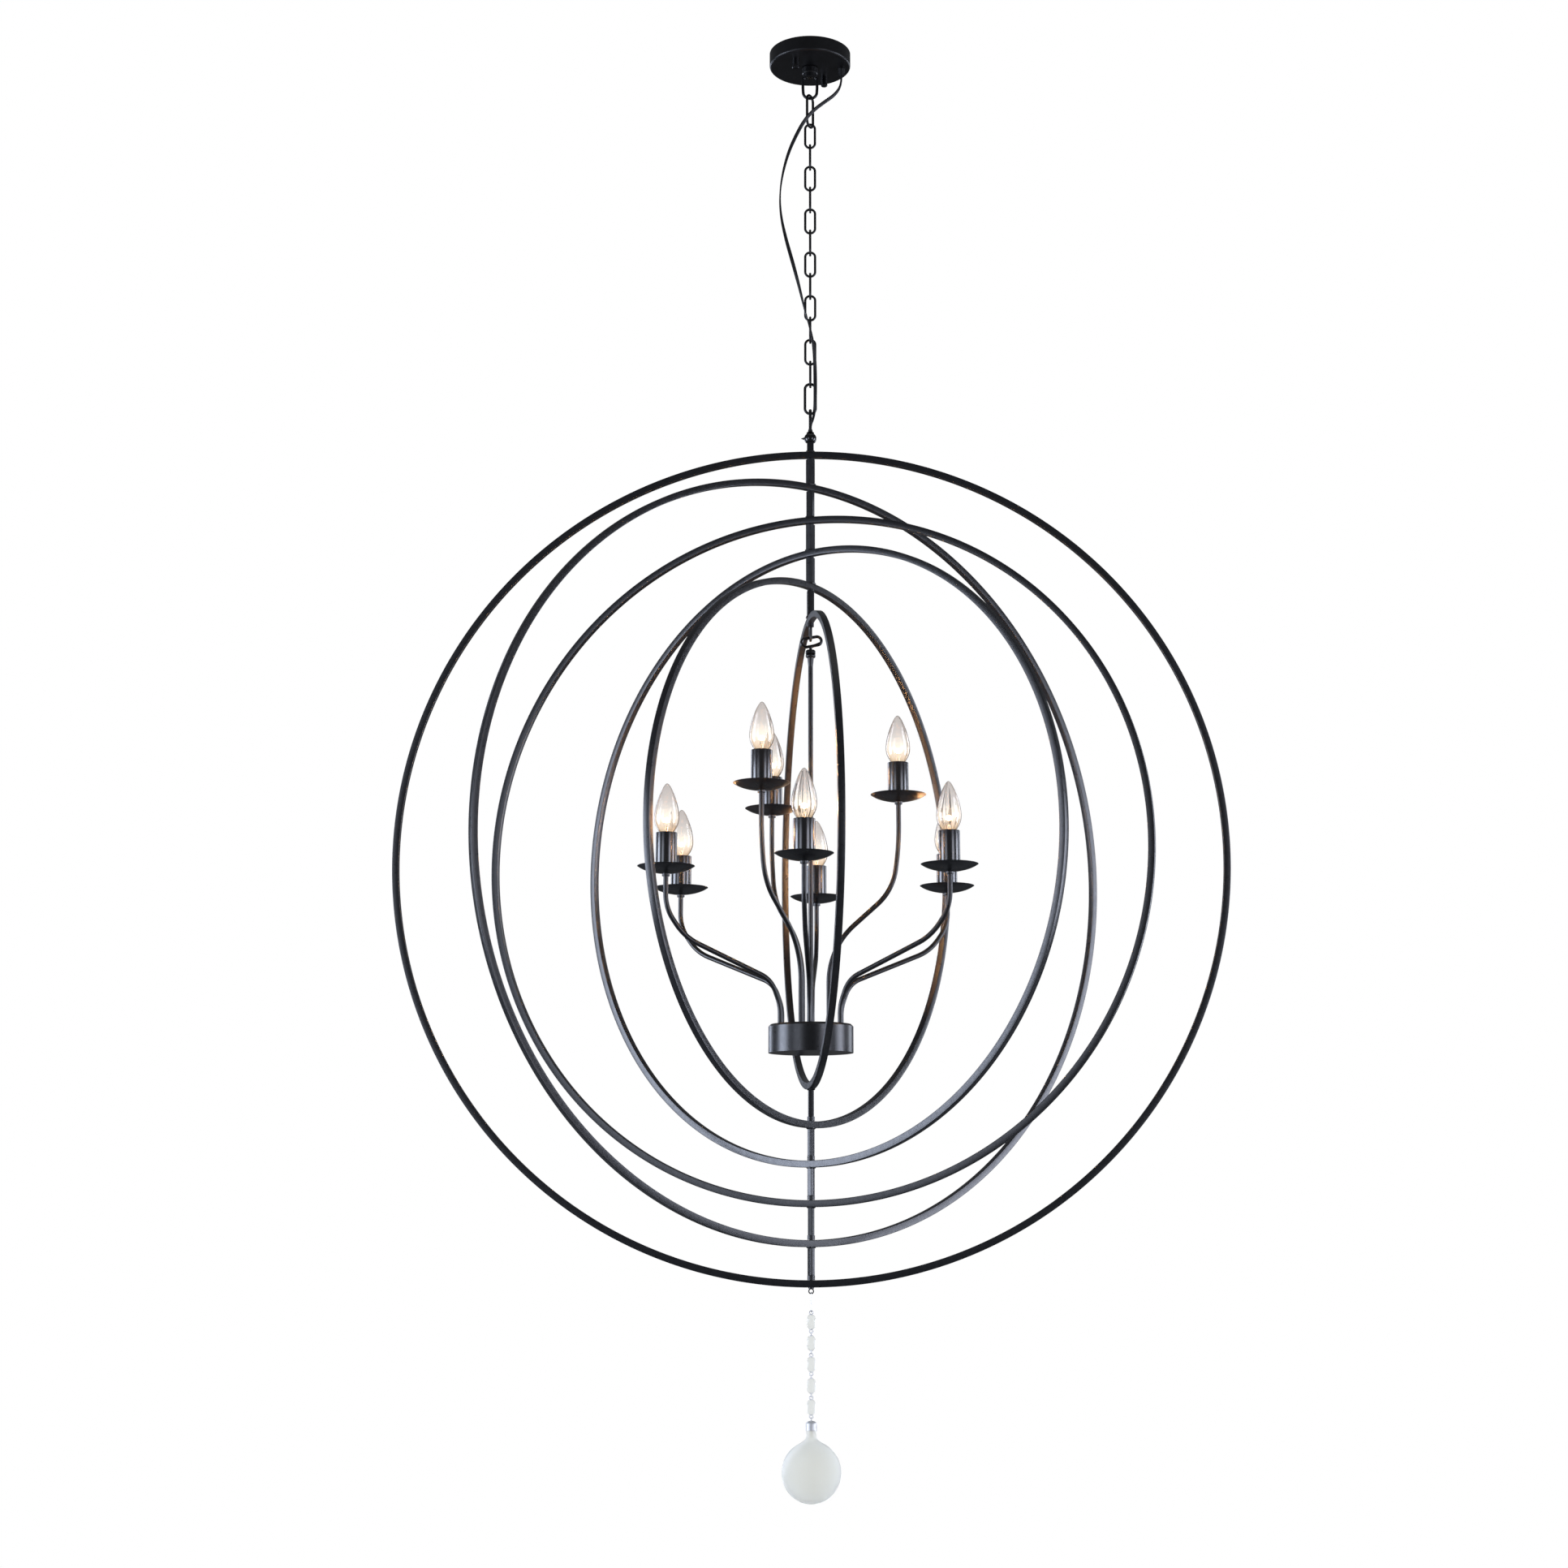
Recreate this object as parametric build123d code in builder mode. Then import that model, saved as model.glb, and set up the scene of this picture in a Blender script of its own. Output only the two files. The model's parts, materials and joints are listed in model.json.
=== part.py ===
"""Orb chandelier: six square-bar rings nested on one upright axis, hung by a chain from a round canopy.

A nine-light candle cluster hangs inside the smallest ring, and a string of glass beads with a
frosted ball hangs under the largest. Millimetres, +Z up. The origin is the centre of the canopy's
rim, in the plane of the ceiling, so that the whole light hangs below it.
"""

import os
from math import cos, pi, radians, sin, sqrt, tan

from build123d import *

os.makedirs("parts", exist_ok=True)

# Canopy and its fixings
CANOPY_DIAMETER = 126.0
CANOPY_HEIGHT = 23.3
CANOPY_WALL = 1.2
CANOPY_EDGE_RADIUS = 3.5
BOX_SCREW_SPACING = 88.9
BOX_SLOT_LENGTH = 10.0
BOX_SCREW_HOLE = 5.0
STRAP_WIDTH = 16.0
STRAP_THICKNESS = 1.6
STUD_SPACING = 76.0
STUD_DIAMETER = 4.0
STUD_AZIMUTH = 54.6
CAP_NUT_DIAMETER = 10.5
CAP_NUT_HEIGHT = 15.5
CAP_NUT_FLOOR = 2.5
CAP_NUT_CHAMFER = 1.0
NIPPLE_DIAMETER = 9.8
NIPPLE_BORE = 7.0
LOCKNUT_FLATS = 14.0
LOCKNUT_HEIGHT = 4.0
COLLAR_DIAMETER = 24.0
COLLAR_HEIGHT = 11.0
COLLAR_CHAMFER = 1.2
GLAND_RADIUS_AT = 49.0
GLAND_LENGTH = 14.0
GLAND_BASE_DIAMETER = 12.0
GLAND_TIP_DIAMETER = 7.6
GLAND_FLANGE_HEIGHT = 2.8

# Canopy loop, chain and the loop over the rings
CANOPY_LOOP_WIRE = 4.5
CANOPY_LOOP_WIDTH = 26.5
CANOPY_LOOP_DROP = 36.7
CANOPY_LOOP_TIP_WIDTH = 24.4
CANOPY_LOOP_KNEE_RISE = 17.0
CANOPY_LOOP_KNEE_RADIUS = 8.8
CANOPY_LOOP_SHOULDER_RADIUS = 3.2
LOOP_BOSS_DIAMETER = 20.0
LOOP_BOSS_HEIGHT = 6.0
LINK_COUNT = 14
LINK_WIRE = 3.6
LINK_LENGTH = 43.0
LINK_WIDTH = 18.6
END_LINK_WIRE = 4.0
TOP_LINK_LENGTH = 57.0
TOP_LINK_WIDTH = 22.0
BOTTOM_LINK_LENGTH = 51.0
BOTTOM_LINK_WIDTH = 20.0
TOP_LINK_TURN = 30.0
LINK_PLAY = 0.3
STEM_LOOP_WIRE = 4.6
STEM_LOOP_WIDTH = 19.0
STEM_LOOP_HEIGHT = 37.0
STEM_FOOT_SPREAD = 11.2
STEM_SHOULDER_RISE = 16.5
STEM_BOSS_HEIGHT = 4.6
STEM_BALL_DIAMETER = 18.4
STEM_BALL_CUT = 0.55
STEM_NECK_DIAMETER = 11.4
STEM_SCREW_DIAMETER = 4.0
STEM_SCREW_REACH = 4.6
STEM_SCREW_TAPER = 20.0

# Rings, largest first, and the struts and pivots between them
RING_COUNT = 6
RING_1_RADIUS = 595.0
RING_STEP = 52.0
RING_RISE = 1.2
RING_BAR = 9.5
RING_AZIMUTHS = [-0.6, 36.2, -16.8, -40.1, 57.1, -82.8]
TOP_STRUT = 10.0
TOP_STRUT_WALL = 1.1
BOTTOM_STRUT = 7.6
STUB_HEIGHT = 15.5
PIVOT_DIAMETER = 6.0
PIVOT_BORE = 3.6
PIVOT_PLAY = 0.05
PIVOT_HEAD_DIAMETER = 7.2
PIVOT_HEAD_HEIGHT = 2.0
PIVOT_FLANGE_DIAMETER = 10.0
PIVOT_FLANGE_HEIGHT = 1.6
PIVOT_PLUG_LENGTH = 8.0
LOWER_PIVOT_DIAMETER = 5.0
LOWER_COLLAR_DIAMETER = 10.5
LOWER_COLLAR_HEIGHT = 6.0
RUNNING_GAP = 0.3
FIT_GAP = 0.1

# Hook and coupler over the candle cluster
HOOK_WIRE = 3.6
HOOK_WIDTH = 15.0
HOOK_LENGTH = 26.0
HOOK_SEAT_HEIGHT = 5.0
SHACKLE_WIRE = 4.4
SHACKLE_LENGTH = 34.0
SHACKLE_HEIGHT = 17.0
SHACKLE_TILT = 12.0
SHACKLE_NECK_RADIUS = 2.6
COUPLER_DIAMETER = 14.6
COUPLER_HEIGHT = 12.0
COUPLER_DROP = 18.4
COUPLER_EDGE_RADIUS = 2.7

# Candle cluster
ROD_DIAMETER = 7.0
ROD_CONE_DIAMETER = 9.6
ROD_CONE_LENGTH = 13.0
ROD_COLLAR_DIAMETER = 13.0
ROD_COLLAR_HEIGHT = 4.0
HUB_DIAMETER = 119.6
HUB_HEIGHT = 39.3
HUB_WALL = 1.6
HUB_CHAMFER = 3.0
HUB_OVER_RING = 40.3
HUB_LID_THICKNESS = 2.0
ARM_DIAMETER = 7.0
LOWER_COUNT = 6
LOWER_RADIUS = 226.7
LOWER_FOOT_RADIUS = 48.5
LOWER_PAN_OVER_HUB = 209.5
LOWER_TURN = -1.9
LOWER_ARM_FOOT_RISE = 25.0
LOWER_ARM_FLARE_OUT = 14.0
LOWER_ARM_FLARE_RISE = 60.0
LOWER_ARM_SLOPE_IN = 30.0
LOWER_ARM_SLOPE_DROP = 97.0
LOWER_ARM_TOP_DROP = 58.0
UPPER_COUNT = 3
UPPER_RADIUS = 126.3
UPPER_FOOT_RADIUS = 25.5
UPPER_PAN_OVER_HUB = 326.0
UPPER_TURN = -2.6
UPPER_ARM_FOOT_RISE = 107.0
UPPER_ARM_SLOPE_IN = 9.0
UPPER_ARM_SLOPE_DROP = 138.0
UPPER_ARM_TOP_DROP = 72.0
PAN_DIAMETER = 80.0
PAN_DEPTH = 10.5
PAN_WALL = 1.0
PAN_SEAT_DEPTH = 7.5
PAN_CURVE_DEPTH = 6.1
PAN_COLLAR_DIAMETER = 11.0
PAN_COLLAR_HEIGHT = 4.0
SLEEVE_DIAMETER = 30.0
SLEEVE_WALL = 1.0
SLEEVE_TOP_OVER_RIM = 46.0
SOCKET_DIAMETER = 24.0
SOCKET_HEIGHT = 51.0
SOCKET_BORE = 14.5
SOCKET_BORE_DEPTH = 26.0
BULB_DIAMETER = 35.0
BULB_TIP_OVER_RIM = 115.5
BULB_BASE_DIAMETER = 14.0
BULB_BASE_LENGTH = 24.0
BULB_BELLY_RISE = 27.2
BULB_NECK_PULL = 6.0
BULB_BELLY_PULL = 15.0
BULB_SHOULDER_PULL = 18.0
BULB_TAPER_RADIUS = 8.8
BULB_TAPER_DROP = 12.0
BULB_TIP_RADIUS = 4.5

# Bead string and ball under the rings
EYELET_WIRE = 1.6
EYELET_DIAMETER = 8.0
EYELET_FLANGE_DIAMETER = 8.0
PIN_WIRE = 1.2
PIN_EYE_DIAMETER = 6.0
PIN_PLAY = 0.3
HOOK_LINK_LENGTH = 27.0
BEAD_COUNT = 5
BEAD_DIAMETER = 11.5
BEAD_LENGTH = 17.5
BEAD_PITCH = 27.6
BEAD_FACETS = 8
BEAD_BAND_HEIGHT = 4.2
BEAD_SHOULDER_HEIGHT = 12.6
BEAD_SHOULDER_DIAMETER = 8.2
BEAD_END_DIAMETER = 3.6
BALL_DIAMETER = 80.0
BALL_WALL = 2.5
BALL_NECK_DIAMETER = 14.0
BALL_NECK_LENGTH = 14.0
BALL_CAP_DIAMETER = 15.6
BALL_CAP_HEIGHT = 12.0
BALL_CAP_CROWN = 2.4
BALL_CAP_EDGE_RADIUS = 2.4

# Supply cord, from the gland in the canopy to the stem ball. The route is chosen by hand.
CORD_DIAMETER = 4.5
CORD_TUBE_DIAMETER = 4.5
CORD_ROUTE = [
    (49, 0, -52),
    (39, -7, -72),
    (22, -14, -88),
    (5, -18.5, -104),
    (-9, -18, -121),
    (-21, -13, -142),
    (-32.5, -10, -168),
    (-41, -9.5, -199),
    (-46.5, -9, -235),
    (-45.5, -9.5, -272),
    (-37.5, -10, -312),
    (-27, -11, -351),
    (-16.5, -13, -393),
    (-8, -15, -433),
    (2.5, -15, -470),
    (6.8, -9, -503),
    (7.6, -7, -541),
    (7.4, -6.8, -576),
    (5.4, -3.4, -598),
    (0, 0, -611),
]
CORD_SEAT_DEPTH = 3.0


def save(block, name):
    """Labels a finished piece and writes it."""
    block.part.label = name
    export_step(block.part, f"parts/{name}.step")


def upright(azimuth, z, x=0.0, y=0.0):
    """The upright plane through a point, whose x runs level at an azimuth and whose y runs up."""
    turn = radians(azimuth)
    return Plane(origin=(x, y, z), x_dir=(cos(turn), sin(turn), 0), z_dir=(sin(turn), -cos(turn), 0))


def oval(plane, length, width, wire):
    """Sweeps a closed oval link, with its long side along the plane's y."""
    bend = (width - wire) / 2
    straight = (length - width) / 2
    with BuildLine(plane) as path:
        Line((bend, -straight), (bend, straight))
        CenterArc((0, straight), bend, 0, 180)
        Line((-bend, straight), (-bend, -straight))
        CenterArc((0, -straight), bend, 180, 180)
    with BuildSketch(Plane(origin=path.line @ 0, z_dir=path.line % 0)) as section:
        Circle(wire / 2)
    sweep(section.sketch, path=path.line)


# Heights down the chain: each link's top wire rests in the bend above it.
LOOP_BEND_Z = -CANOPY_HEIGHT - COLLAR_HEIGHT - LOOP_BOSS_HEIGHT - CANOPY_LOOP_DROP + CANOPY_LOOP_WIRE / 2
link_wires = []
link_lengths = []
link_widths = []
for i in range(LINK_COUNT):
    is_top = i == 0
    is_bottom = i == LINK_COUNT - 1
    link_wires.append(END_LINK_WIRE if is_top or is_bottom else LINK_WIRE)
    link_lengths.append(TOP_LINK_LENGTH if is_top else BOTTOM_LINK_LENGTH if is_bottom else LINK_LENGTH)
    link_widths.append(TOP_LINK_WIDTH if is_top else BOTTOM_LINK_WIDTH if is_bottom else LINK_WIDTH)

pivot_zs = [LOOP_BEND_Z]
link_centres = []
wire_above = CANOPY_LOOP_WIRE
for i in range(LINK_COUNT):
    top_wire_z = pivot_zs[-1] + wire_above / 2 + LINK_PLAY + link_wires[i] / 2
    bottom_wire_z = top_wire_z - link_lengths[i] + link_wires[i]
    link_centres.append((top_wire_z + bottom_wire_z) / 2)
    pivot_zs.append(bottom_wire_z)
    wire_above = link_wires[i]
STEM_LOOP_TOP_WIRE_Z = pivot_zs[-1] + wire_above / 2 + LINK_PLAY + STEM_LOOP_WIRE / 2
STEM_BALL_Z = STEM_LOOP_TOP_WIRE_Z + STEM_LOOP_WIRE / 2 - STEM_LOOP_HEIGHT - STEM_BALL_DIAMETER / 2
STUB_TOP_Z = STEM_BALL_Z - sqrt((STEM_BALL_DIAMETER / 2) ** 2 - TOP_STRUT**2 / 2)
RING_1_Z = STUB_TOP_Z - STUB_HEIGHT - RING_BAR / 2 - RING_1_RADIUS
ring_radii = [RING_1_RADIUS - RING_STEP * k for k in range(RING_COUNT)]
ring_zs = [RING_1_Z + RING_RISE * k for k in range(RING_COUNT)]


def top_of(k):
    """The height of the middle of a ring's bar at its top."""
    return ring_zs[k] + ring_radii[k]


def bottom_of(k):
    """The height of the middle of a ring's bar at its bottom."""
    return ring_zs[k] - ring_radii[k]


HUB_TOP = bottom_of(RING_COUNT - 1) + RING_BAR / 2 + HUB_OVER_RING + HUB_HEIGHT
LOWER_PAN_Z = HUB_TOP + LOWER_PAN_OVER_HUB
UPPER_PAN_Z = HUB_TOP + UPPER_PAN_OVER_HUB


# ---------------------------------------------------------------- canopy
STRAP_HOLE = NIPPLE_DIAMETER / 2 + FIT_GAP

with BuildPart() as box_strap:
    with BuildSketch(Plane.XY.offset(-STRAP_THICKNESS)):
        SlotOverall(BOX_SCREW_SPACING + BOX_SLOT_LENGTH + STRAP_WIDTH / 2, STRAP_WIDTH)
        with Locations((-BOX_SCREW_SPACING / 2, 0), (BOX_SCREW_SPACING / 2, 0)):
            SlotOverall(BOX_SLOT_LENGTH, BOX_SCREW_HOLE, mode=Mode.SUBTRACT)
        Circle(STRAP_HOLE, mode=Mode.SUBTRACT)
    extrude(amount=STRAP_THICKNESS)
save(box_strap, "box_strap")

with BuildPart() as canopy_strap:
    with BuildSketch(Plane.XY.rotated((0, 0, STUD_AZIMUTH)).offset(-2 * STRAP_THICKNESS)):
        SlotOverall(STUD_SPACING + STRAP_WIDTH, STRAP_WIDTH)
        with Locations((-STUD_SPACING / 2, 0), (STUD_SPACING / 2, 0)):
            Circle(STUD_DIAMETER / 2 + FIT_GAP, mode=Mode.SUBTRACT)
        Circle(STRAP_HOLE, mode=Mode.SUBTRACT)
    extrude(amount=STRAP_THICKNESS)
save(canopy_strap, "canopy_strap")

stud_x = STUD_SPACING / 2 * cos(radians(STUD_AZIMUTH))
stud_y = STUD_SPACING / 2 * sin(radians(STUD_AZIMUTH))
stud_points = [(-stud_x, -stud_y), (stud_x, stud_y)]
STUD_BOTTOM = -CANOPY_HEIGHT - CAP_NUT_HEIGHT + CAP_NUT_FLOOR + RUNNING_GAP

with BuildPart() as canopy:
    with BuildSketch(Plane.XY.offset(-CANOPY_HEIGHT)):
        Circle(CANOPY_DIAMETER / 2)
    extrude(amount=CANOPY_HEIGHT)
    fillet(canopy.faces().sort_by(Axis.Z)[0].edges(), CANOPY_EDGE_RADIUS)
    offset(amount=-CANOPY_WALL, openings=canopy.faces().sort_by(Axis.Z)[-1])
    with BuildSketch(Plane.XY.offset(-CANOPY_HEIGHT)):
        Circle(NIPPLE_DIAMETER / 2 + FIT_GAP)
        with Locations(*stud_points):
            Circle(STUD_DIAMETER / 2 + FIT_GAP)
        with Locations((GLAND_RADIUS_AT, 0)):
            Circle(CORD_DIAMETER / 2 + FIT_GAP)
    extrude(amount=2 * CANOPY_WALL, mode=Mode.SUBTRACT)
save(canopy, "canopy")

with BuildPart() as canopy_studs:
    with BuildSketch(Plane.XY.offset(STUD_BOTTOM)):
        with Locations(*stud_points):
            Circle(STUD_DIAMETER / 2)
    extrude(amount=-STRAP_THICKNESS - STUD_BOTTOM)
save(canopy_studs, "canopy_studs")

with BuildPart() as cap_nuts:
    with BuildSketch(Plane.XY.offset(-CANOPY_HEIGHT - CAP_NUT_HEIGHT)):
        with Locations(*stud_points):
            Circle(CAP_NUT_DIAMETER / 2)
    extrude(amount=CAP_NUT_HEIGHT)
    chamfer(cap_nuts.faces().group_by(Axis.Z)[0].edges(), CAP_NUT_CHAMFER)
    with BuildSketch(Plane.XY.offset(-CANOPY_HEIGHT)):
        with Locations(*stud_points):
            Circle(STUD_DIAMETER / 2 + FIT_GAP)
    extrude(amount=-CAP_NUT_HEIGHT + CAP_NUT_FLOOR, mode=Mode.SUBTRACT)
save(cap_nuts, "cap_nuts")

LOCKNUT_TOP = -2 * STRAP_THICKNESS
BOSS_TOP = -CANOPY_HEIGHT - COLLAR_HEIGHT
BOSS_BOTTOM = BOSS_TOP - LOOP_BOSS_HEIGHT
NIPPLE_BOTTOM = BOSS_BOTTOM + CANOPY_WALL

with BuildPart() as canopy_nipple:
    with BuildSketch(Plane.XY.offset(NIPPLE_BOTTOM)):
        Circle(NIPPLE_DIAMETER / 2)
        Circle(NIPPLE_BORE / 2, mode=Mode.SUBTRACT)
    extrude(amount=-NIPPLE_BOTTOM)
save(canopy_nipple, "canopy_nipple")

with BuildPart() as locknut:
    with BuildSketch(Plane.XY.offset(LOCKNUT_TOP - LOCKNUT_HEIGHT)):
        RegularPolygon(LOCKNUT_FLATS / 2, 6, major_radius=False)
        Circle(STRAP_HOLE, mode=Mode.SUBTRACT)
    extrude(amount=LOCKNUT_HEIGHT)
save(locknut, "locknut")

with BuildPart() as canopy_collar:
    with BuildSketch(Plane.XY.offset(BOSS_TOP)):
        Circle(COLLAR_DIAMETER / 2)
    extrude(amount=COLLAR_HEIGHT)
    chamfer(canopy_collar.edges(), COLLAR_CHAMFER)
    with BuildSketch(Plane.XY.offset(BOSS_TOP)):
        Circle(STRAP_HOLE)
    extrude(amount=COLLAR_HEIGHT, mode=Mode.SUBTRACT)
save(canopy_collar, "canopy_collar")

loop_bend = (CANOPY_LOOP_WIDTH - CANOPY_LOOP_WIRE) / 2
with BuildPart() as canopy_loop:
    with BuildSketch(Plane.XY.offset(BOSS_BOTTOM)):
        Circle(LOOP_BOSS_DIAMETER / 2)
    extrude(amount=LOOP_BOSS_HEIGHT)
    with BuildLine(upright(0, LOOP_BEND_Z)) as loop_path:
        waist = (CANOPY_LOOP_TIP_WIDTH - CANOPY_LOOP_WIRE) / 2
        bends = [CANOPY_LOOP_SHOULDER_RADIUS, CANOPY_LOOP_KNEE_RADIUS, waist]
        shoulder_z = BOSS_TOP - LOOP_BEND_Z - LOOP_BOSS_HEIGHT / 2
        FilletPolyline(
            (loop_bend - CANOPY_LOOP_WIRE, shoulder_z),
            (loop_bend, shoulder_z - CANOPY_LOOP_WIRE),
            (loop_bend, CANOPY_LOOP_KNEE_RISE),
            (waist, 0),
            (-waist, 0),
            (-loop_bend, CANOPY_LOOP_KNEE_RISE),
            (-loop_bend, shoulder_z - CANOPY_LOOP_WIRE),
            (-loop_bend + CANOPY_LOOP_WIRE, shoulder_z),
            radius=[*bends, *reversed(bends)],
        )
    with BuildSketch(Plane(origin=loop_path.line @ 0, z_dir=loop_path.line % 0)):
        Circle(CANOPY_LOOP_WIRE / 2)
    sweep(path=loop_path.line)
    with BuildSketch(Plane.XY.offset(BOSS_BOTTOM)):
        Circle(STRAP_HOLE)
    extrude(amount=LOOP_BOSS_HEIGHT, mode=Mode.SUBTRACT)
save(canopy_loop, "canopy_loop")

GLAND_TIP_Z = -CANOPY_HEIGHT - GLAND_LENGTH
with BuildPart() as cord_gland:
    with BuildSketch(upright(0, -CANOPY_HEIGHT, GLAND_RADIUS_AT)):
        with BuildLine():
            base = GLAND_BASE_DIAMETER / 2
            tip = GLAND_TIP_DIAMETER / 2
            bore = CORD_DIAMETER / 2 - FIT_GAP
            outside = [(bore, 0), (base, 0), (base, -GLAND_FLANGE_HEIGHT), (tip, -GLAND_LENGTH)]
            Polyline(*outside, (bore, -GLAND_LENGTH), close=True)
        make_face()
    revolve(axis=Axis((GLAND_RADIUS_AT, 0, 0), (0, 0, 1)))
save(cord_gland, "cord_gland")

# ---------------------------------------------------------------- chain
for i in range(LINK_COUNT):
    across = 90 if i % 2 == 0 else 0
    turn = across - TOP_LINK_TURN if i == 0 else across
    with BuildPart() as chain_link:
        oval(upright(turn, link_centres[i]), link_lengths[i], link_widths[i], link_wires[i])
    save(chain_link, f"chain_link_{i + 1:02d}")

# ---------------------------------------------------------------- stem loop, ball and screw
stem_bend = (STEM_LOOP_WIDTH - STEM_LOOP_WIRE) / 2
STEM_FOOT = STEM_FOOT_SPREAD / 2
STEM_BOSS_Z = STEM_BALL_Z + STEM_BALL_DIAMETER / 2
CORD_BORE = CORD_TUBE_DIAMETER / 2 + PIVOT_PLAY

with BuildPart() as stem_loop:
    with BuildSketch(Plane.XY.offset(STEM_BOSS_Z)):
        Circle(STEM_FOOT + STEM_LOOP_WIRE / 2)
    extrude(amount=STEM_BOSS_HEIGHT)
    with BuildLine(upright(90, STEM_BOSS_Z)) as stem_path:
        crown = STEM_LOOP_TOP_WIRE_Z - STEM_BOSS_Z - stem_bend
        Line((STEM_FOOT, STEM_BOSS_HEIGHT / 2), (stem_bend, STEM_SHOULDER_RISE))
        Line((stem_bend, STEM_SHOULDER_RISE), (stem_bend, crown))
        CenterArc((0, crown), stem_bend, 0, 180)
        Line((-stem_bend, crown), (-stem_bend, STEM_SHOULDER_RISE))
        Line((-stem_bend, STEM_SHOULDER_RISE), (-STEM_FOOT, STEM_BOSS_HEIGHT / 2))
    with BuildSketch(Plane(origin=stem_path.line @ 0, z_dir=stem_path.line % 0)):
        Circle(STEM_LOOP_WIRE / 2)
    sweep(path=stem_path.line, transition=Transition.ROUND)
    with BuildSketch(Plane.XY.offset(STEM_BOSS_Z)):
        Circle(STEM_LOOP_WIDTH)
    extrude(amount=-STEM_LOOP_WIRE, mode=Mode.SUBTRACT)
    with BuildSketch(Plane.XY.offset(STEM_BOSS_Z)):
        Circle(CORD_BORE)
    extrude(amount=2 * STEM_BOSS_HEIGHT, mode=Mode.SUBTRACT)
save(stem_loop, "stem_loop")

with BuildPart() as stem_ball:
    with BuildSketch(upright(0, STEM_BALL_Z)):
        Circle(STEM_BALL_DIAMETER / 2)
        with Locations((-STEM_BALL_DIAMETER / 2, 0)):
            Rectangle(STEM_BALL_DIAMETER, 2 * STEM_BALL_DIAMETER, mode=Mode.SUBTRACT)
        with Locations((0, STUB_TOP_Z - STEM_BALL_Z - STEM_BALL_DIAMETER)):
            Rectangle(2 * STEM_BALL_DIAMETER, 2 * STEM_BALL_DIAMETER, mode=Mode.SUBTRACT)
    revolve(axis=Axis.Z)
    flat_z = STEM_BALL_DIAMETER / 2 - STEM_BALL_CUT
    with BuildSketch(Plane.XY.offset(STEM_BALL_Z + flat_z)):
        Circle(STEM_BALL_DIAMETER)
    extrude(amount=STEM_BALL_DIAMETER, mode=Mode.SUBTRACT)
    with BuildSketch(Plane.XY.offset(STEM_BALL_Z + flat_z)):
        Circle(STEM_NECK_DIAMETER / 2)
    extrude(amount=STEM_BALL_CUT)
    with BuildSketch(Plane.XY.offset(STUB_TOP_Z)):
        Circle(PIVOT_BORE / 2)
    extrude(amount=STEM_BOSS_Z - STUB_TOP_Z - CORD_SEAT_DEPTH, mode=Mode.SUBTRACT)
    with BuildSketch(Plane.XY.offset(STEM_BOSS_Z)):
        Circle(CORD_BORE)
    extrude(amount=-CORD_SEAT_DEPTH, mode=Mode.SUBTRACT)
    with BuildSketch(Plane(origin=(0, 0, STEM_BALL_Z), z_dir=(-1, 0, 0))):
        Circle(STEM_SCREW_DIAMETER / 2 + PIVOT_PLAY)
    extrude(amount=STEM_BALL_DIAMETER, mode=Mode.SUBTRACT)
save(stem_ball, "stem_ball")

screw_face = Plane(origin=(-STEM_BALL_DIAMETER / 2, 0, STEM_BALL_Z), z_dir=(-1, 0, 0))
with BuildPart() as stem_screw:
    with BuildSketch(screw_face):
        Circle(STEM_SCREW_DIAMETER / 2)
    extrude(amount=PIVOT_BORE - STEM_BALL_DIAMETER / 2)
    with BuildSketch(screw_face):
        Circle(STEM_SCREW_DIAMETER / 2)
    extrude(amount=STEM_SCREW_REACH, taper=STEM_SCREW_TAPER)
save(stem_screw, "stem_screw")

# ---------------------------------------------------------------- rings, struts and pivots
strut_bore = TOP_STRUT - 2 * TOP_STRUT_WALL
gap_under_bar = RUNNING_GAP + PIVOT_FLANGE_HEIGHT

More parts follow.
